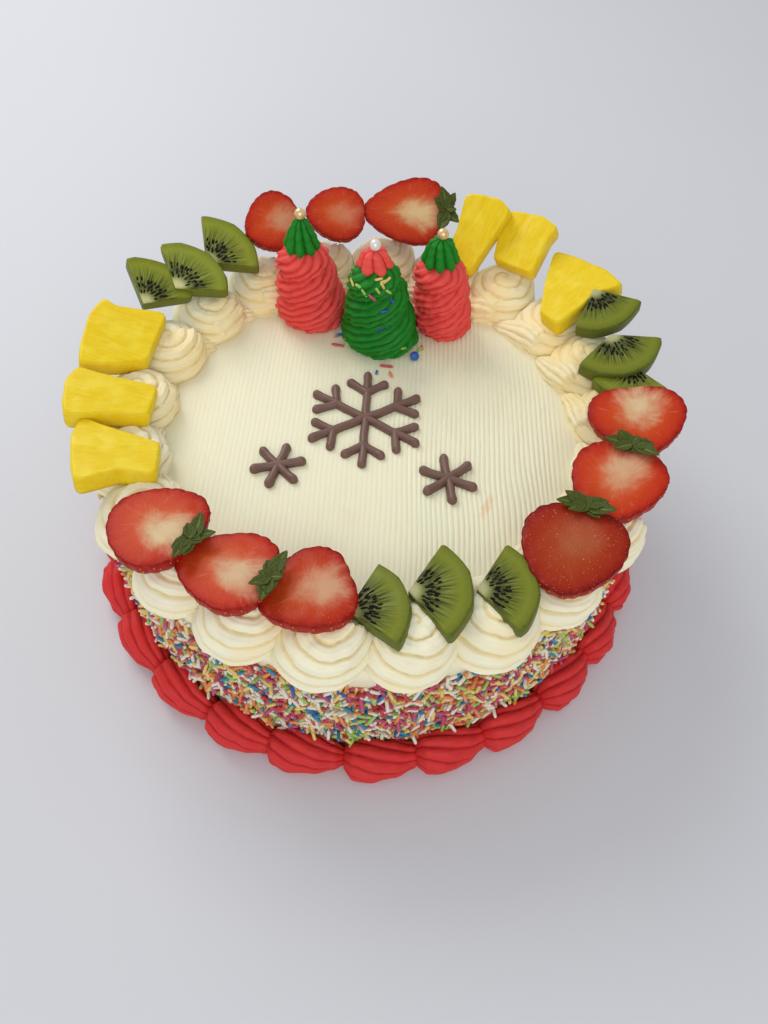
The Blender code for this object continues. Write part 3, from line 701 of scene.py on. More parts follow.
def comb_height(x, y):
    """Depth of the comb's grooves: clear on the right, half wiped away on the left."""
    drift = 0.0006 * ripple((x * 0.4, y, 0.0), 0.035, 3.0) + 0.0003 * ripple((x, y * 0.6, 0.0), 0.012, 7.0)
    front_right = smooth(x / 0.03) * smooth(-y / 0.04)
    drift += 0.0018 * ripple((x, y * 0.5, 0.0), 0.020, 1.0) * front_right
    groove = abs(sin(pi * (x + drift) / COMB_PITCH))
    clear = 0.16 + 0.70 * smooth((x + 0.005 + 0.02 * ripple((x, y, 0.0), 0.05)) / 0.050)
    clear *= 0.9 + 0.45 * ripple((x, y * 0.3, 0.0), 0.006, 5.0)
    clear *= 1.0 - 0.8 * smooth((hypot(x, y) - 0.080) / 0.012)
    crest = groove ** 0.6
    drop = COMB_DEPTH * clear * (1.0 - crest)
    wave = 0.00025 * (ripple((x, y, 0.0), 0.03, 9.0) - 0.6)
    mark = 0.0
    for reach in KNIFE_ARCS:
        away = hypot(x - KNIFE_PLACE[0], y - KNIFE_PLACE[1]) - reach
        turned = atan2(y - KNIFE_PLACE[1], x - KNIFE_PLACE[0]) - KNIFE_TURN
        mark += exp(-(away / KNIFE_WIDTH) ** 2 - (turned / KNIFE_SWEEP) ** 2)
    # The fold value marks the grooves and knife arcs, which comb_paint paints darker as painted shade.
    fold = 1.0 - clear * (1.0 - crest) - 0.15 * min(1.0, mark)
    return COMB_CREST - drop + wave - KNIFE_DEPTH * mark, fold


def combed_top(bm):
    """A round sheet with its columns along the comb's way, closed below by a skirt and a floor."""
    spot = bm.verts.layers.float_vector["spot"]
    sheet = bmesh.ops.create_grid(bm, x_segments=COMB_COLUMNS, y_segments=COMB_ROWS, size=1.0)["verts"]
    for vertex in sheet:
        outermost = abs(vertex.co.x) > 0.999
        x = COMB_RADIUS * (round(vertex.co.x) if outermost else vertex.co.x)
        y = vertex.co.y * sqrt(max(0.0, COMB_RADIUS ** 2 - x * x))
        height, fold = comb_height(x, y)
        vertex.co = Vector((x, y, height))
        vertex[spot] = Vector((fold, 0.0, 0.0))
    bmesh.ops.remove_doubles(bm, verts=bm.verts, dist=1e-6)
    rim = [edge for edge in bm.edges if edge.is_boundary]
    swept = bmesh.ops.extrude_edge_only(bm, edges=rim)["geom"]
    for item in swept:
        if isinstance(item, bmesh.types.BMVert):
            item.co.z = CAKE_HEIGHT - COMB_SKIRT
    rim = [edge for edge in bm.edges if edge.is_boundary]
    bmesh.ops.contextual_create(bm, geom=rim)
    bmesh.ops.recalc_face_normals(bm, faces=bm.faces)


def cake():
    bm = cream_coat()
    combed_top(bm)
    piece("combed_cream_cake", bm, comb_paint(), "cream_body", "cake_body")


# Piped cream swirls

def swirl_angle(index):
    return SWIRL_FIRST + index * tau / SWIRL_COUNT


def swirl_shape(index):
    angle = swirl_angle(index)
    size = SWIRL_RADIUS * draw(0.97, 1.02)
    height = SWIRL_HEIGHT * draw(0.92, 0.98)
    centre = polar(angle, SWIRL_CIRCLE, CAKE_HEIGHT)
    tail = radians(draw(0, 50))
    seed = draw(0, 50)

    def shape(turn, ring):
        if ring == 0:
            return centre + Vector((0, 0, -0.21 * height)), Vector((0.5, 0.0, 0.0))
        share = (ring - 1) / (SWIRL_RINGS - 1)
        spiral = ((turn - tail) % tau) / tau
        lean = radians(-24 + 114 * share)
        wander = 0.20 * round_ripple(turn, share * 3.0, 0.7, seed)
        wander += 0.07 * round_ripple(turn, share * 2.0, 0.22, seed)
        wander *= 1.0 - smooth((share - 0.70) / 0.25)
        phase = pi * (SWIRL_RIDGES * share + spiral + wander)
        crease = abs(sin(phase))
        strand = abs(sin(3.0 * phase)) ** 0.7
        crest = crease ** 0.5
        fade = 1.0 - smooth((share - 0.78) / 0.2)
        reach = size * (0.93 + 0.10 * spiral)
        out = reach * max(0.0, cos(lean)) ** 0.85
        rise = height * sin(lean) * (0.52 if lean < 0 else 1.0)
        uneven = 1.0 + 0.5 * round_ripple(turn, share * 1.5, 0.5, seed + 9.0)
        swell = SWIRL_RIDGE_DEPTH * (crest - 0.6) * (0.35 + 0.65 * fade) * uneven
        swell += SWIRL_STRAND_DEPTH * (strand - 0.6) * fade
        swell += SWIRL_LUMPS * round_ripple(turn, share * 2.5, 0.35, seed) * fade
        lift = SWIRL_END_LIFT * smooth((spiral - 0.80) / 0.2) * fade
        point = centre + polar(turn, out + swell * cos(lean), rise + swell * sin(lean) + lift)
        point += polar(tail, SWIRL_LEAN * smooth(share * 1.2))
        # Painted warm light: a warm tint on the swirl's inner side, stronger towards the back; the crease
        # value gets painted shade in the creases.
        inward = max(0.0, -cos(turn - angle))
        painted_warm_light = 0.8 * inward * smooth((point.y + 0.03) / 0.06)
        return point, Vector((min(crease, 0.45 + 0.5 * strand), spiral, painted_warm_light))

    return shape


def rope_shape(index):
    """The end of a swirl, drawn along to the next one: a fluted rope that thins as it sinks."""
    angle = swirl_angle(index)
    side = -1 if cos(angle) < 0 else 1
    seed = draw(0, 50)
    start = angle - side * radians(draw(3, 6))
    sweep = side * radians(draw(16, 20))
    height = draw(*ROPE_HEIGHTS)

    def shape(turn, ring):
        share = ring / ROPE_RINGS
        way = start + sweep * share
        circle = ROPE_CIRCLE - 0.0030 * share + 0.0012 * sin(4.0 * share + seed)
        middle = polar(way, circle, TOP + height * (1.0 - smooth(share)) - 0.0010)
        full = along(ROPE_FULLNESS, share)
        phase = ROPE_FLUTES / 2 * turn + side * 2.6 * share
        crease = abs(sin(phase + 0.4 * ripple((share * 4.0, turn, 0.0), 1.0, seed)))
        radius = ROPE_RADIUS * full * (0.80 + 0.24 * crease ** 0.6)
        radius += ROPE_LUMPS * round_ripple(turn, share * 5.0, 0.4, seed) * full
        point = middle + polar(way, radius * cos(turn), radius * sin(turn))
        point.z = max(point.z, CAKE_HEIGHT - 0.0005)
        # Painted warm light: a warm tint that grows towards the back; the crease value gets painted shade
        # in the creases.
        return point, Vector((crease, share, 0.5 * smooth((point.y + 0.03) / 0.06)))

    return shape


def swirls():
    order = range(SWIRL_COUNT)
    bm = bags(SWIRL_AROUND, SWIRL_RINGS, *[swirl_shape(index) for index in order])
    ropes = bags(ROPE_AROUND, ROPE_RINGS, *[rope_shape(index) for index in order])
    paint = cream_paint("whipped_cream", (0.92, 0.87, 0.64), (0.83, 0.68, 0.35), (0.94, 0.77, 0.40))
    piece("piped_cream_swirls", bm, paint, "cream_swirls", "cream_swirls")
    piece("piped_cream_ropes", ropes, paint, "cream_swirls")


# Red shell border

def shell_shape(index):
    pitch = tau / SHELL_COUNT
    start = SHELL_FIRST + index * pitch + draw(-0.012, 0.012)
    size = draw(0.95, 1.02)
    seed = draw(0, 50)
    curl = -draw(4.2, 5.4)

    def shape(turn, ring):
        share = ring / SHELL_RINGS
        ahead = -0.06 + 1.16 * share
        full = along(SHELL_FULLNESS, share)
        across = turn - pi / 2
        wander = 0.35 * ripple((share * 3.0, turn, 0.0), 1.0, seed)
        crease = abs(cos(SHELL_RIDGES * across / 2 + curl * (1.0 - share) ** 1.3 + wander))
        swell = SHELL_RIDGE_DEPTH * full * (crease ** 0.65 - 0.7)
        swell += SHELL_STRAND_DEPTH * full * abs(sin(3.0 * SHELL_RIDGES * across / 2 + 2.0 * wander))
        swell += SHELL_LUMPS * ripple((share * 5.0, turn * 2.0, 0.0), 1.0, seed) * full
        wide = SHELL_REACH * (0.06 + 0.94 * full) if full > 0 else 0.0
        tall = SHELL_RISE * (0.08 + 0.92 * full) if full > 0 else 0.0
        out = SHELL_MIDDLE - SHELL_TAPER * (1.0 - full) + (wide + swell) * cos(turn)
        height = SHELL_AXIS_HEIGHT * size * (0.55 + 0.45 * full) + (tall * size + swell) * sin(turn)
        point = polar(start + ahead * pitch, out, max(0.0, height))
        # The crease value gets painted shade in the shell's creases.
        return point, Vector((crease, share, 0.0))

    return shape


def shells():
    bm = bags(SHELL_AROUND, SHELL_RINGS, *[shell_shape(index) for index in range(SHELL_COUNT)])
    piece("piped_red_shells", bm, red_cream("red_border_cream", 0.0), "red_cream", "red_shell_border")


# Fruit

def fruit_place(angle, circle, height, heading, lean, roll):
    turn = radians(angle)
    return (Matrix.Translation(polar(turn, circle, height))
            @ Matrix.Rotation(turn, 4, "Z")
            @ Matrix.Rotation(radians(-lean), 4, "Y")
            @ Matrix.Rotation(radians(roll), 4, "X")
            @ Matrix.Rotation(radians(heading), 4, "Z"))


def fruit(name, cut, bm, place, paint, kind):
    """A piece of fruit set down in its place, with its kind attribute on every point."""
    layer = bm.verts.layers.float_vector.new("kind")
    for vertex in bm.verts:
        vertex[layer] = kind
    bm.transform(place)
    piece(f"{name}_{cut}", bm, paint, name.split("_")[0], name)


def berry_shape(length, width, taper, seed):
    """Half a berry: the lower rings are its skin, the upper ones its cut face."""
    half = BERRY_RINGS // 2

    def shape(turn, ring):
        notch = 0.08 * exp(-(sin(turn / 2) / 0.16) ** 2)
        around = (cos(turn), sin(turn), seed)
        notches = abs(sin(10 * turn + 1.6 * ripple(around, 0.5)))
        dent = 0.034 * (notches ** 0.5 - 0.8) + 0.018 * ripple(around, 0.25)
        x = length / 2 * (cos(turn) - notch)
        y = width / 2 * sin(turn) * (1 + taper * cos(turn))
        if ring <= half:
            bend = ring / half * pi / 2 * 1.04
            share = min(1.0, sin(min(bend, pi / 2)) ** 0.72)
            height = -BERRY_DEPTH * max(0.0, cos(bend)) ** 0.85
            pit = 0.010 * ripple((x * share, y * share, height), 0.0022, seed)
            share *= 1.0 + (dent + pit) * smooth(ring / half * 3)
        else:
            inner = 1.0 - (ring - half) / (BERRY_RINGS - half)
            share = inner * (1.0 + dent * inner)
            height = 0.0005 * (1.0 - inner ** 6) + 0.0003 * ripple((x * inner, y * inner, 0), 0.005, seed)
        spot = Vector((cos(turn) * share, sin(turn) * share, height / BERRY_DEPTH))
        return Vector((x * share, y * share, height)), spot

    return shape


def on_skin(shape, turn, ring):
    """A frame on a shape: Z along the outward normal and X up the rings, with its point."""
    here = shape(turn, ring)[0]
    ahead = shape(turn, ring + 1)[0] - here
    aside = shape(turn + 0.05, ring)[0] - here
    out = aside.cross(ahead).normalized()
    up = ahead.normalized()
    return Matrix((up, out.cross(up), out)).transposed().to_4x4(), here


def seed_grain(bm, matrix, long, wide, thick):
    size = Matrix.Diagonal((long / 2, wide / 2, thick / 2, 1.0))
    bmesh.ops.create_icosphere(bm, subdivisions=1, radius=1.0, matrix=matrix @ size)


def strawberries():
    flesh = strawberry_paint()
    grains = bmesh.new()
    for number, row in enumerate(STRAWBERRIES, 1):
        length, width, taper, core, yellow = row[6:]
        place = fruit_place(*row[:6])
        seed = number * BERRY_NOISE_STEP
        shape = berry_shape(length, width, taper, seed)
        bm = bags(BERRY_AROUND, BERRY_RINGS, shape)
        fruit(f"strawberry_{number}", "half", bm, place, flesh, Vector((core, yellow, seed)))
        for step, ring in enumerate(BERRY_SEED_RINGS):
            count = 10 + 2 * step
            for index in range(count):
                turn = (index + 0.5 * (step % 2)) / count * tau + draw(-0.05, 0.05)
                turned, here = on_skin(shape, turn, ring)
                seed_grain(grains, place @ Matrix.Translation(here) @ turned, *BERRY_SEED)
    straw = seed_paint("strawberry_seed", (0.60, 0.33, 0.06), (0.36, 0.12, 0.03), 0.35)
    piece("strawberry_seeds", grains, straw, "strawberry")


def slab_shape(outline, thickness, measure, seed):
    """A slice: a rounded body whose outline(turn) gives the distance from its middle."""
    lower = SLICE_RINGS // 2 - SLICE_EDGE // 2
    upper = lower + SLICE_EDGE

    def shape(turn, ring):
        reach = outline(turn)
        if ring < lower:
            inner = ring / lower
            height = -thickness
        elif ring <= upper:
            bend = (ring - lower) / SLICE_EDGE
            inner = 1.0 - 0.03 * (2 * bend - 1) ** 4
            height = -thickness * (1.0 - bend) - 0.0004 * sin(pi * 2 * bend)
        else:
            inner = 0.97 * (SLICE_RINGS - ring) / (SLICE_RINGS - upper)
            height = 0.00025 * ripple(polar(turn, reach * inner), 0.008, seed)
        point = polar(turn, reach * inner, height)
        return point, measure(point)

    return shape


def kiwi_outline(radius, opening):
    """Distance to the edge of a sector from a point inside it, with flats where the peel came off."""
    half = radians(opening) / 2
    apex = -radius * KIWI_APEX

    def reach(turn):
        way = Vector((cos(turn), sin(turn)))
        found = FAR
        for side in (1, -1):
            normal = Vector((-sin(half), side * cos(half)))
            slope = way.dot(normal)
            if slope > 1e-6:
                found = min(found, (Vector((apex, 0.0)).dot(normal)) / slope)
        swing = -way.x * apex
        arc = sqrt(max(0.0, swing * swing - apex * apex + radius * radius)) - swing
        arc_point = way * arc - Vector((apex, 0.0))
        round_apex = atan2(arc_point.y, arc_point.x) + radius * 700
        facet = cos(KIWI_FACET / 2) / cos(round_apex % KIWI_FACET - KIWI_FACET / 2)
        return min(found, arc * (0.25 + 0.75 * facet))

    return reach


def kiwis():
    flesh = kiwi_paint()
    grains = bmesh.new()
    for number, row in enumerate(KIWIS, 1):
        radius, opening, painted_brightening = row[6:]
        place = fruit_place(*row[:6])
        apex = Vector((-radius * KIWI_APEX, 0.0, 0.0))
        seed = number * KIWI_NOISE_STEP

        def measure(point):
            local = (point - apex) / radius
            return Vector((local.x, local.y, point.z / KIWI_THICKNESS))

        shape = slab_shape(kiwi_outline(radius, opening), KIWI_THICKNESS, measure, seed)
        bm = bags(SLICE_AROUND, SLICE_RINGS, shape)
        fruit(f"kiwi_{number}", "slice", bm, place, flesh, Vector((painted_brightening, 0.0, seed)))
        half = radians(opening) / 2 - 0.08
        for step, share in enumerate(KIWI_SEED_ROWS):
            count = 6 + step
            for index in range(count):
                turn = -half + 2 * half * (index + draw(0.2, 0.8)) / count
                where = apex + polar(turn, radius * (share + draw(-0.04, 0.04)), 0.0)
                spin = Matrix.Translation(where) @ Matrix.Rotation(turn + draw(-0.12, 0.12), 4, "Z")
                seed_grain(grains, place @ spin, draw(*KIWI_SEED_LENGTHS), *KIWI_SEED)
    black = seed_paint("kiwi_seed", (0.010, 0.008, 0.005), (0.003, 0.002, 0.002), 0.4)
    piece("kiwi_seeds", grains, black, "kiwi")


def wedge_outline(points):
    """Distance to the edge of a polygon with softened corners, from the point 0, 0."""
    def cast(turn):
        way = Vector((cos(turn), sin(turn)))
        found = FAR
        for here, after in zip(points, points[1:] + points[:1]):
            run = after - here
            cross = way.x * run.y - way.y * run.x
            if abs(cross) < 1e-12:
                continue
            distance = (here.x * run.y - here.y * run.x) / cross
            share = (here.x * way.y - here.y * way.x) / cross
            if distance > 0 and -1e-6 <= share <= 1 + 1e-6:
                found = min(found, distance)
        return found

    def reach(turn):
        nearby = [cast(turn + step * 0.035) for step in (-2, -1, 0, 1, 2)]
        return sum(nearby) / len(nearby)

    return reach


def pineapples():
    flesh = pineapple_paint()
    bow = PINEAPPLE_BOW
    for number, row in enumerate(PINEAPPLES, 1):
        length, inner, outer, skew = row[6:]
        points = [Vector((-length / 2, -inner / 2 - skew)),
                  Vector((0.20 * length, -0.40 * (inner + outer) / 2 - 0.003)),
                  Vector((length / 2 - bow, -outer / 2)),
                  Vector((length / 2, -outer / 5)),
                  Vector((length / 2 - bow / 3, outer / 4)),
                  Vector((length / 2 - bow, outer / 2)),
                  Vector((-0.05 * length, 0.45 * (inner + outer) / 2)),
                  Vector((-length / 2 + bow / 2, inner / 2 - skew))]
        seed = number * PINEAPPLE_NOISE_STEP

        def measure(point):
            return Vector([part / PINEAPPLE_UNIT for part in point])

        shape = slab_shape(wedge_outline(points), PINEAPPLE_THICKNESS, measure, seed)

        def fibrous(turn, ring):
            point, spot = shape(turn, ring)
            if ring > SLICE_RINGS // 2:
                point.z += 0.00012 * ripple((point.x * 0.35, point.y, 0.0), 0.0018, seed)
                crease = (point.y - 0.004 + point.x * 0.2) / 0.0014
                point.z -= 0.0005 * exp(-crease ** 2) * smooth((point.x + 0.012) / 0.02)
            return point, spot

        bm = bags(SLICE_AROUND, SLICE_RINGS, fibrous)
        place = fruit_place(*row[:6])
        fruit(f"pineapple_{number}", "wedge", bm, place, flesh, Vector((0.0, 0.0, seed)))


def leaf(bm, spot, matrix, long, wide):
    """One pointed leaf with a folded middle and a raised tip."""
    blade = bmesh.ops.create_grid(bm, x_segments=12, y_segments=6, size=1.0)["verts"]
    curl = draw(0.12, 0.30)
    bend = draw(-0.25, 0.25)
    for vertex in blade:
        share = (vertex.co.x + 1) / 2
        side = vertex.co.y
        arch = sin(pi * min(1.0, share ** 0.85 * 0.97 + 0.03))
        half = wide * arch ** 0.85 * (1.18 - 0.20 * share)
        tooth = 1.0 + 0.07 * sin(share * 22.0)
        x = long * share
        y = side * half * tooth + bend * long * share ** 2
        z = abs(side) * half * 0.35 + curl * long * share ** 2
        vertex[spot] = Vector((share, side, 0.0))
        vertex.co = matrix @ Vector((x, y, z))


def calyxes():
    green = leaf_paint()
    for number in CALYXES:
        row = STRAWBERRIES[number - 1]
        place = fruit_place(*row[:6])
        end = row[6] / 2 - LEAF_INSET
        bm = bmesh.new()
        spot = bm.verts.layers.float_vector.new("spot")
        for degrees, long, wide in LEAVES:
            turn = radians(degrees + draw(-8, 8))
            root = Matrix.Translation((end, 0.0, LEAF_LIFT + draw(0.0, 0.0008)))
            leaf(bm, spot, place @ root @ Matrix.Rotation(turn, 4, "Z"), long * draw(0.92, 1.05), wide)
        bmesh.ops.remove_doubles(bm, verts=bm.verts, dist=1e-6)
        bmesh.ops.recalc_face_normals(bm, faces=bm.faces)
        bmesh.ops.solidify(bm, geom=bm.faces[:], thickness=LEAF_THICKNESS)
        bmesh.ops.recalc_face_normals(bm, faces=bm.faces)
        piece(f"leaves_{number}", bm, green, "leaf", f"calyx_{number}")


# Piped trees

def tree_shape(number):
    place, foot, neck, height, lean = TREES[number][1:]
    seed = number * TREE_NOISE_STEP

    def shape(turn, ring):
        if ring in (0, TREE_RINGS):
            share = ring / TREE_RINGS
            level = TOP + (height + CROWN_RISE) * share
            return Vector((place[0] - lean * share, place[1], level)), Vector((0.3, 0.0, 0.0))
        share = (ring - 1) / (TREE_RINGS - 2)
        tier = abs(cos(pi * (share * TREE_TIERS - turn / tau))) ** 0.7
        phase = pi * (height * share / TREE_RIDGE_PITCH - TREE_STARTS * turn / tau)
        ragged = 0.75 * round_ripple(turn, share * 4.0, 0.6, seed)
        crest = 1.0 - abs(sin(phase + ragged)) ** 0.8
        radius = foot + (neck - foot) * share ** 1.15
        radius += TREE_TIER_DEPTH * (tier - 0.62) + TREE_RIDGE_DEPTH * (crest - 0.4)
        radius += TREE_LUMPS * round_ripple(turn, share * 5.0, 0.30, seed + 9)
        radius *= 1.0 - 0.16 * (1.0 - smooth(share / 0.07))
        radius *= sqrt(max(0.0, 1.0 - smooth((share - 0.92) / 0.08) * 0.62))
        crown = CROWN_RISE * smooth((share - 0.88) / 0.12)
        middle = Vector((place[0] - lean * share, place[1], TOP + height * share + crown))
        sag = 0.0006 * ripple((turn * 3.0, 0.0, 0.0), 1.0, seed) * (1.0 if ring > 1 else 0.0)
        # The crest value gets painted shade in the tree's grooves.
        return middle + polar(turn, radius, sag), Vector((0.2 + crest, tier, 0.0))

    return shape


def cap_shape(place, foot, radius, height, pinch, flutes):
    stops = ((0.0, 0.84), (0.14, 1.0), (0.5, 1.0 - pinch * 0.45), (0.85, 1.0 - pinch), (1.0, 0.26))

    def shape(turn, ring):
        if ring == 0:
            return Vector((*place, foot + 0.0004)), Vector((0.0, 0.0, 0.0))
        if ring == CAP_RINGS:
            return Vector((*place, foot + height)), Vector((0.5, 0.0, 0.0))
        share = (ring - 1) / (CAP_RINGS - 2)
        lobe = abs(cos(flutes / 2 * (turn + 0.25 * share))) ** 0.75
        wide = radius * along(stops, share) * (0.66 + 0.34 * lobe)
        tongue = -CAP_TONGUE * lobe ** 3 * (1.0 - smooth(share / 0.25))
        crown = 0.0006 * lobe * smooth((share - 0.8) / 0.2)
        middle = Vector((*place, foot + height * share + tongue + crown))
        # The lobe value gets painted shade between the lobes.
        return middle + polar(turn, wide), Vector((lobe, 0.0, 0.0))

    return shape


def trees():
    paints = {
        # Painted light: the trees' red cream is a lighter copy of the border's, for the light falling on
        # the trees.
        "red_cream": red_cream("red_tree_cream_painted_lit", 0.17),
        "green_cream": cream_paint("green_butter_cream", (0.012, 0.225, 0.018), (0.002, 0.066, 0.005),
                                   (0.012, 0.175, 0.012), 0.40),
        "gold_pearl": pearl_paint("gold_sugar_pearl", (0.88, 0.66, 0.36), (0.72, 0.44, 0.16), 0.55),
        "white_pearl": pearl_paint("white_sugar_pearl", (0.92, 0.90, 0.84), (0.74, 0.70, 0.62), 0.25),
    }
    for number, (row, cap, slots) in enumerate(zip(TREES, CAPS, TREE_SLOTS)):
        name, place, _, _, height, lean = row
        radius, cap_height, pinch, flutes = cap
        cream, cap_cream, pearl = slots
        bm = bags(TREE_AROUND, TREE_RINGS, tree_shape(number))
        piece(f"{name}_piping", bm, paints[cream], cream, name)
        head = (place[0] - lean, place[1])
        cap_foot = TOP + height + CAP_CLEARANCE
        bm = bags(12 * flutes, CAP_RINGS, cap_shape(head, cap_foot, radius, cap_height, pinch, flutes))
        piece(f"{name}_tip", bm, paints[cap_cream], cap_cream, f"{name}_cap")
        bm = bmesh.new()
        centre = Vector((*head, cap_foot + cap_height + PEARL_CLEARANCE + PEARL_RADIUS))
        bmesh.ops.create_icosphere(bm, subdivisions=4, radius=PEARL_RADIUS)
        for vertex in bm.verts:
            vertex.co = centre + vertex.co * (0.992 + 0.012 * ripple(vertex.co, 0.002, number))
        piece(f"{name}_sugar_pearl", bm, paints[pearl], pearl, f"{name}_pearl")


# Piped chocolate

def stroke_shape(start, end, height):
    """A line of piped chocolate: round above, flat below, with a blob at each end."""
    run = end - start
    far = run.length
    forward = run.normalized()
    aside = Vector((-forward.y, forward.x, 0.0))
    half = CHOCOLATE_WIDTH / 2
    seed = draw(0, 50)

    def shape(turn, ring):
        share = ring / STROKE_RINGS
        travel = -half + (far + 2 * half) * (0.5 - 0.5 * cos(pi * share))
        near_end = min(travel + half, far + half - travel)
        rounding = sqrt(max(0.0, 1.0 - (1.0 - min(1.0, near_end / half)) ** 2))
        blob = 1.0 + 0.10 * exp(-((near_end - half * 1.1) / 0.0016) ** 2)
        wide = half * rounding * blob * (0.93 + 0.08 * ripple((travel, 0.0, 0.0), 0.004, seed))
        wander = 0.0004 * ripple((travel, 5.0, 0.0), 0.008, seed)
        lift = max(0.0, sin(turn)) ** 0.85
        tall = height * (0.35 + 0.65 * rounding) * blob if rounding > 0 else 0.0
        point = start + forward * travel + aside * (wide * cos(turn) + wander)
        return Vector((point.x, point.y, TOP - CHOCOLATE_SUNK + tall * lift)), Vector((lift, 0.0, 0.0))

    return shape


def chocolate():
    brown = chocolate_paint()
    for name, centre, reach, turn, branched in FLAKES:
        middle = Vector((*centre, 0.0))
        strokes = []
        for arm in range(3):
            outward = polar(radians(turn + 60 * arm), reach)
            height = CHOCOLATE_HEIGHT * (0.92 + 0.05 * arm)
            strokes.append(stroke_shape(middle - outward, middle + outward, height))
        for arm in range(6 if branched else 0):
            angle = radians(turn + 60 * arm)
            fork = middle + polar(angle, reach * 0.60)
            for side in (-1, 1):
                branch = polar(angle + side * radians(55), reach * 0.36)
                strokes.append(stroke_shape(fork, fork + branch, CHOCOLATE_HEIGHT * 0.9))
        piece(f"{name}_piping", bags(STROKE_AROUND, STROKE_RINGS, *strokes), brown, "chocolate", name)


# Sugar sprinkles

def sprinkle_grain():
    """One sprinkle of unit length along Z: a six-sided rod with rounded ends."""
    bm = bmesh.new()
    bmesh.ops.create_uvsphere(bm, u_segments=6, v_segments=5, radius=1.0)
    for vertex in bm.verts:
        ring = round(acos(max(-1.0, min(1.0, vertex.co.z))) / pi * 5)
        wide, far = SPRINKLE_LEVELS[ring]
        turn = atan2(vertex.co.y, vertex.co.x)
        vertex.co = polar(turn, wide, 0.5 - far)
    return finished(bm, "sprinkle_grain")


def many(grain, count):
    """So many equal grains, made by doubling half as many."""
    bm = bmesh.new()
    if count > 1:
        mesh = finished(many(grain, count // 2), "half_of_the_grains")
        bm.from_mesh(mesh)
        bm.from_mesh(mesh)
        bpy.data.meshes.remove(mesh)
    if count % 2:
        bm.from_mesh(grain)
    return bm


def rod(centre, direction, length, radius=SPRINKLE_RADIUS):
    turn = Vector((0, 0, 1)).rotation_difference(direction).to_matrix().to_4x4()
    return Matrix.Translation(centre) @ turn @ Matrix.Diagonal((radius, radius, length, 1.0))


def lying(out, slope):
    """A direction along an upright surface that faces out."""
    return Vector((-out.y, out.x, 0.0)) * cos(slope) + Vector((0, 0, sin(slope)))


def side_sprinkles():
    """Places on the side, spread evenly by refusing any that lies too near another."""
    cells = {}
    places = []
    tries = 0
    while len(places) < SPRINKLES_ON_SIDE and tries < SPRINKLE_TRIES:
        tries += 1
        angle = draw(0, tau)
        height = draw(*SPRINKLE_HEIGHTS)
        if height > SPRINKLE_LINE + SPRINKLE_LINE_SWING * ripple(polar(angle, CAKE_RADIUS), 0.022, 4.0):
            continue
        flat = (angle * CAKE_RADIUS, height)
        outer = len(places) > INNER_SHARE * SPRINKLES_ON_SIDE
        spacing = SPRINKLE_SPACING * (0.9 if outer else 1.0)
        cell = (int(flat[0] / SPRINKLE_SPACING), int(flat[1] / SPRINKLE_SPACING), outer)
        near = [spot for i in (-1, 0, 1) for j in (-1, 0, 1)
                for spot in cells.get((cell[0] + i, cell[1] + j, outer), ())]
        if any(dist(flat, spot) < spacing for spot in near):
            continue
        cells.setdefault(cell, []).append(flat)
        slope = draw(0, tau)
        tilt = UNEVEN.gauss(0, OUTER_TILT if outer else INNER_TILT)
        out = polar(angle, 1.0)
        direction = (lying(out, slope) * cos(tilt) + out * sin(tilt)).normalized()
        depth = draw(*SPRINKLE_DEPTHS) + (OUTER_DEPTH if outer else 0.0)
        length = draw(*SPRINKLE_LENGTHS) * (LONG if UNEVEN.random() < LONG_SHARE else 1.0)
        centre = polar(angle, CAKE_RADIUS + depth + abs(sin(tilt)) * length * 0.3, height)
        places.append((int(flat[0] / PATCH_SIZE), int(height / PATCH_SIZE), rod(centre, direction, length)))
    return places


def tree_sprinkles():
    shape = tree_shape(1)
    found = []
    for degrees, share, colour in TREE_SPRINKLES:
        angle = radians(degrees)
        here = shape(angle % tau, round(1 + share * (TREE_RINGS - 2)))[0]
        out = polar(angle, 1.0)
        direction = lying(out, draw(-1.3, 1.3))
        length = draw(*TREE_SPRINKLE_LENGTHS)
        found.append((colour, rod(here + out * 0.0005, direction, length, TREE_SPRINKLE_RADIUS)))
    for place, degrees, length, colour in LOOSE_SPRINKLES:
        centre = Vector((*place, LOOSE_HEIGHT))
        found.append((colour, rod(centre, polar(radians(degrees), 1.0), length, TREE_SPRINKLE_RADIUS)))
    return found


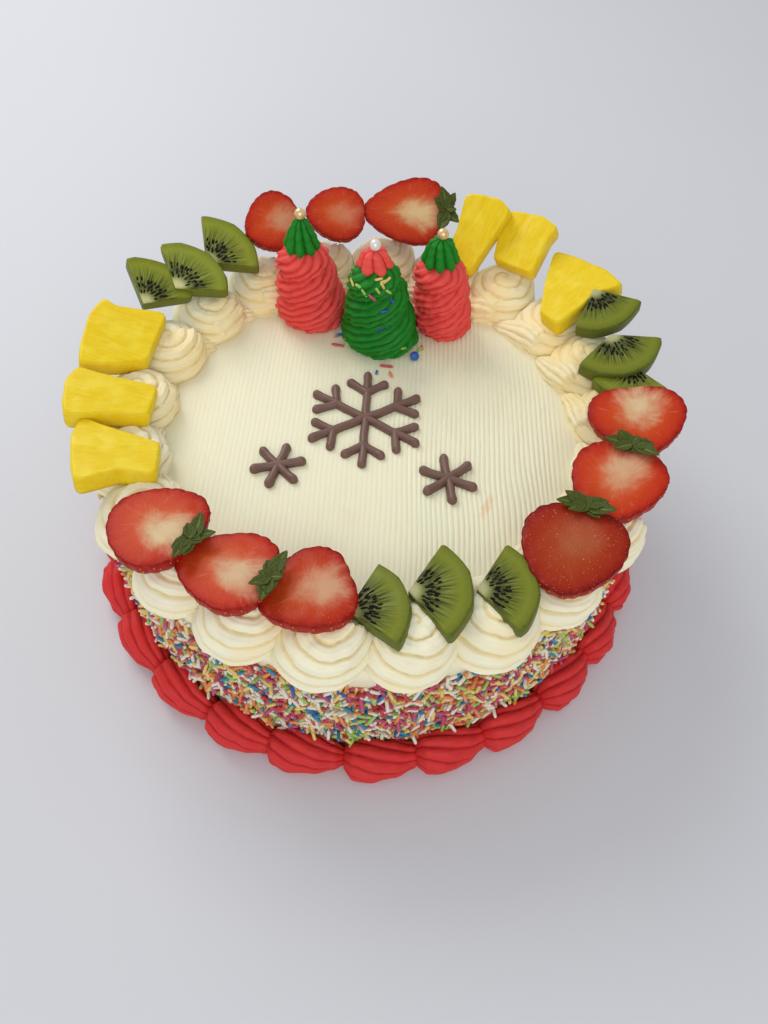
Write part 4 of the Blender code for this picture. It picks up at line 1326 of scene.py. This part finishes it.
def sprinkles():
    grain = sprinkle_grain()
    size = len(grain.vertices)
    names, colours, shares = zip(*SUGARS)
    places = {name: [] for name in names}
    favourites = {}
    for column, row, matrix in side_sprinkles():
        favourite = favourites.setdefault((column, row), UNEVEN.choices(names, shares)[0])
        usual = UNEVEN.random() < PATCH_SHARE
        places[favourite if usual else UNEVEN.choices(names, shares)[0]].append(matrix)
    for name, matrix in tree_sprinkles():
        places[name].append(matrix)
    for name, colour in zip(names, colours):
        bm = many(grain, len(places[name]))
        for index, vertex in enumerate(bm.verts):
            vertex.co = places[name][index // size] @ vertex.co
        if name == "blue":
            bmesh.ops.create_uvsphere(bm, u_segments=24, v_segments=14, radius=SUGAR_BALL_RADIUS,
                                      matrix=Matrix.Translation(SUGAR_BALL))
        piece(f"{name}_sprinkles", bm, sugar_paint(f"{name}_sugar", colour), "cream_body")
    bpy.data.meshes.remove(grain)


# Floor, lights and camera

def stage():
    bm = bmesh.new()
    bmesh.ops.create_grid(bm, x_segments=8, y_segments=8, size=FLOOR_SIZE)
    mesh = finished(bm, "table_top")
    mesh.materials.append(floor_paint())
    put("table_top", mesh)
    world = bpy.data.worlds.new("soft_room")
    world.use_nodes = True
    sky = world.node_tree.nodes["Background"]
    sky.inputs["Color"].default_value = (*SKY_COLOUR, 1.0)
    sky.inputs["Strength"].default_value = SKY_STRENGTH
    bpy.context.scene.world = world
    for name, spot, size, power in LAMPS:
        light = bpy.data.lights.new(name, "AREA")
        light.shape = "SQUARE"
        light.size = size
        light.energy = power
        lamp = put(name, light)
        lamp.location = spot
        lamp.rotation_euler = (-Vector(spot)).to_track_quat("-Z", "Y").to_euler()
    bpy.context.scene.view_settings.view_transform = "Standard"


def camera():
    lens = bpy.data.cameras.new("photo_view")
    lens.lens = CAMERA_LENS
    lens.sensor_width = CAMERA_SENSOR
    lens.clip_start = CAMERA_NEAR
    forward = Vector((0.0, cos(CAMERA_PITCH), -sin(CAMERA_PITCH)))
    right = Vector((1.0, 0.0, 0.0))
    up = right.cross(forward)
    turned_right = cos(CAMERA_ROLL) * right + sin(CAMERA_ROLL) * up
    turned_up = -sin(CAMERA_ROLL) * right + cos(CAMERA_ROLL) * up
    matrix = Matrix((turned_right, turned_up, -forward)).transposed().to_4x4()
    matrix.translation = Vector(CAMERA_PLACE)
    holder = put("photo_view", lens)
    holder.matrix_world = matrix
    bpy.context.scene.camera = holder


camera()
stage()
cake()
swirls()
shells()
strawberries()
kiwis()
pineapples()
calyxes()
trees()
chocolate()
sprinkles()
